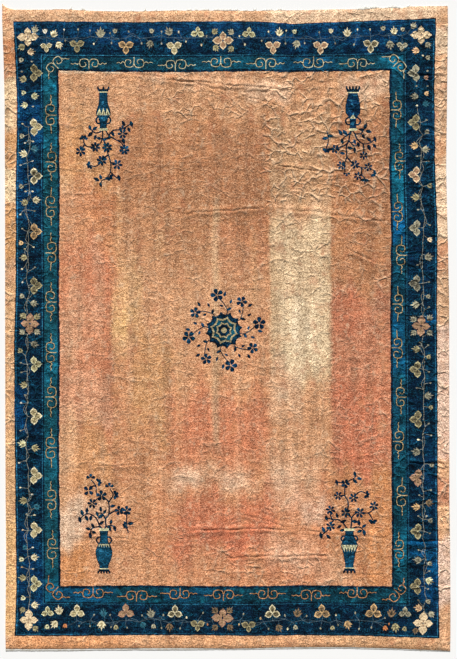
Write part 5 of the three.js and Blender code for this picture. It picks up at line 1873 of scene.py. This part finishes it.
def thread(points, thick):
    # one three-sided thread through the points, pointed at its end
    points = np.asarray(points, float)
    ahead = np.gradient(points, axis=0)
    ahead /= np.maximum(np.linalg.norm(ahead, axis=1), 1e-9)[:, None]
    verts, faces = [], []
    for i, (point, heading) in enumerate(zip(points, ahead)):
        side = np.cross(heading, (0, 0, 1))
        side /= max(np.linalg.norm(side), 1e-9)
        up = np.cross(side, heading)
        size = thick / 2 * (1 - 0.6 * i / (len(points) - 1))
        for k in range(3):
            angle = 2 * math.pi * k / 3
            verts.append(point + size * (side * math.cos(angle) + up * math.sin(angle)))
    for i in range(len(points) - 1):
        for k in range(3):
            a, b = i * 3 + k, i * 3 + (k + 1) % 3
            faces.append((a, b, b + 3, a + 3))
    faces.append((2, 1, 0))
    last = 3 * (len(points) - 1)
    faces.append((last, last + 1, last + 2))
    return verts, faces


def threads(name, rows):
    verts, faces = [], []
    for points, thick in rows:
        newVerts, newFaces = thread(points, thick)
        faces += [tuple(i + len(verts) for i in face) for face in newFaces]
        verts += newVerts
    return cottonPiece(name, verts, faces)


def farEdge(x):
    # the pile's far edge at x, and the rug's lift there
    base = float(np.interp(x, *pileFar.T))
    return base, float(lift(np.array([x]), np.array([base]))[0])


tuftRows = []
for start, stop, tip, rise in farTufts:
    for x in np.arange(start, stop, webLook["tuftStep"]):
        x += rng.uniform(-1.4, 1.4)
        long = float(farReach(np.array([x]))[0]) * rng.uniform(0.75, 1.08)
        base, low = farEdge(x)
        lean = rng.normal(0, 0.35)
        points = []
        for share in np.linspace(0, 1, 5):
            sway = 1.4 * math.sin(share * 5 + x)
            z = low + 1.2 + webLook["tuftSag"] * math.sin(share * math.pi * 0.9) * rng.uniform(0.4, 1)
            points.append((x + lean * long * share + sway * share, base + 1 + long * share, z))
        tuftRows.append((points, rng.uniform(webLook["tuftThinnest"], webLook["tuftWidest"])))
for x in np.arange(-1170, 1345, 13.0):  # short threads all along the far edge
    x += rng.uniform(-6, 6)
    base, low = farEdge(x)
    long = rng.uniform(2, 6)
    tuftRows.append(([(x, base + 0.8, low + 1.5), (x + rng.normal(0, 1.5), base + long / 2, low + 2.2),
                      (x + rng.normal(0, 2.5), base + long, low + 1.0)], 1.2))
farThreads = threads("farWebThreads", tuftRows)

looseRows = []
for x in np.arange(-1340, 1350, 17.0):  # and along the near web's
    x += rng.uniform(-8, 8)
    base = float(np.interp(x, webX, outerNear[:, 1]))
    long = rng.uniform(1.5, 5)
    looseRows.append(([(x, base + 3, 1.6), (x + rng.normal(0, 1), base, 1.3),
                       (x + rng.normal(0, 3), max(base - long, nearLow[1] / mm - 3), 0.7)], 1.0))
nearThreads = threads("nearWebThreads", looseRows)
print("webs woven", len(tuftRows) + len(looseRows), "threads")

floorLook = {"size": 14.0, "colour": (0.94, 0.94, 0.935), "rough": 0.9}
bpy.ops.mesh.primitive_plane_add(size=floorLook["size"], location=(0, 0, 0))
floor = bpy.context.object
floor.name = "studioFloor"
floorNodes = Nodes("studioPaper")
floorNodes.shader.inputs["Base Color"].default_value = (*floorLook["colour"], 1)
floorNodes.shader.inputs["Roughness"].default_value = floorLook["rough"]
floor.data.materials.append(floorNodes.material)

lightLook = {
    "elevation": 27.0, "turn": 6.0, "strength": 5.3, "angle": 7.0, "sun": (1.0, 0.985, 0.96),
    "world": 0.25, "sky": (0.97, 0.985, 1.0),
}
sun = bpy.data.lights.new("windowLight", "SUN")
sun.energy = lightLook["strength"]
sun.angle = math.radians(lightLook["angle"])
sun.color = lightLook["sun"]
sunObject = addPiece("windowLight", sun)
sunObject.rotation_euler = (math.radians(-(90 - lightLook["elevation"])), 0, math.radians(lightLook["turn"]))
world = bpy.data.worlds.new("studioAir")
world.use_nodes = True
world.node_tree.nodes["Background"].inputs["Color"].default_value = (*lightLook["sky"], 1)
world.node_tree.nodes["Background"].inputs["Strength"].default_value = lightLook["world"]
bpy.context.scene.world = world
bpy.context.scene.view_settings.view_transform = "Standard"

cameraLook = {"x": 0.0137, "y": -0.0101, "height": 10.0, "seen": 4.020}  # seen: metres from top to bottom
lens = bpy.data.cameras.new("overhead")
lens.sensor_fit = "VERTICAL"
lens.angle = 2 * math.atan(cameraLook["seen"] / 2 / cameraLook["height"])
camera = addPiece("overhead", lens)
camera.location = (cameraLook["x"], cameraLook["y"], cameraLook["height"] + thickness * mm)
bpy.context.scene.camera = camera

for piece, node, slot in ((rugPile, "rug_body", "wool_pile"), (nearWeb, "near_web", "cotton_web"),
                          (farWeb, "far_web", "cotton_web")):
    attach(piece, "root")
    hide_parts(node)
for piece in (farThreads, nearThreads):
    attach(piece, "root")
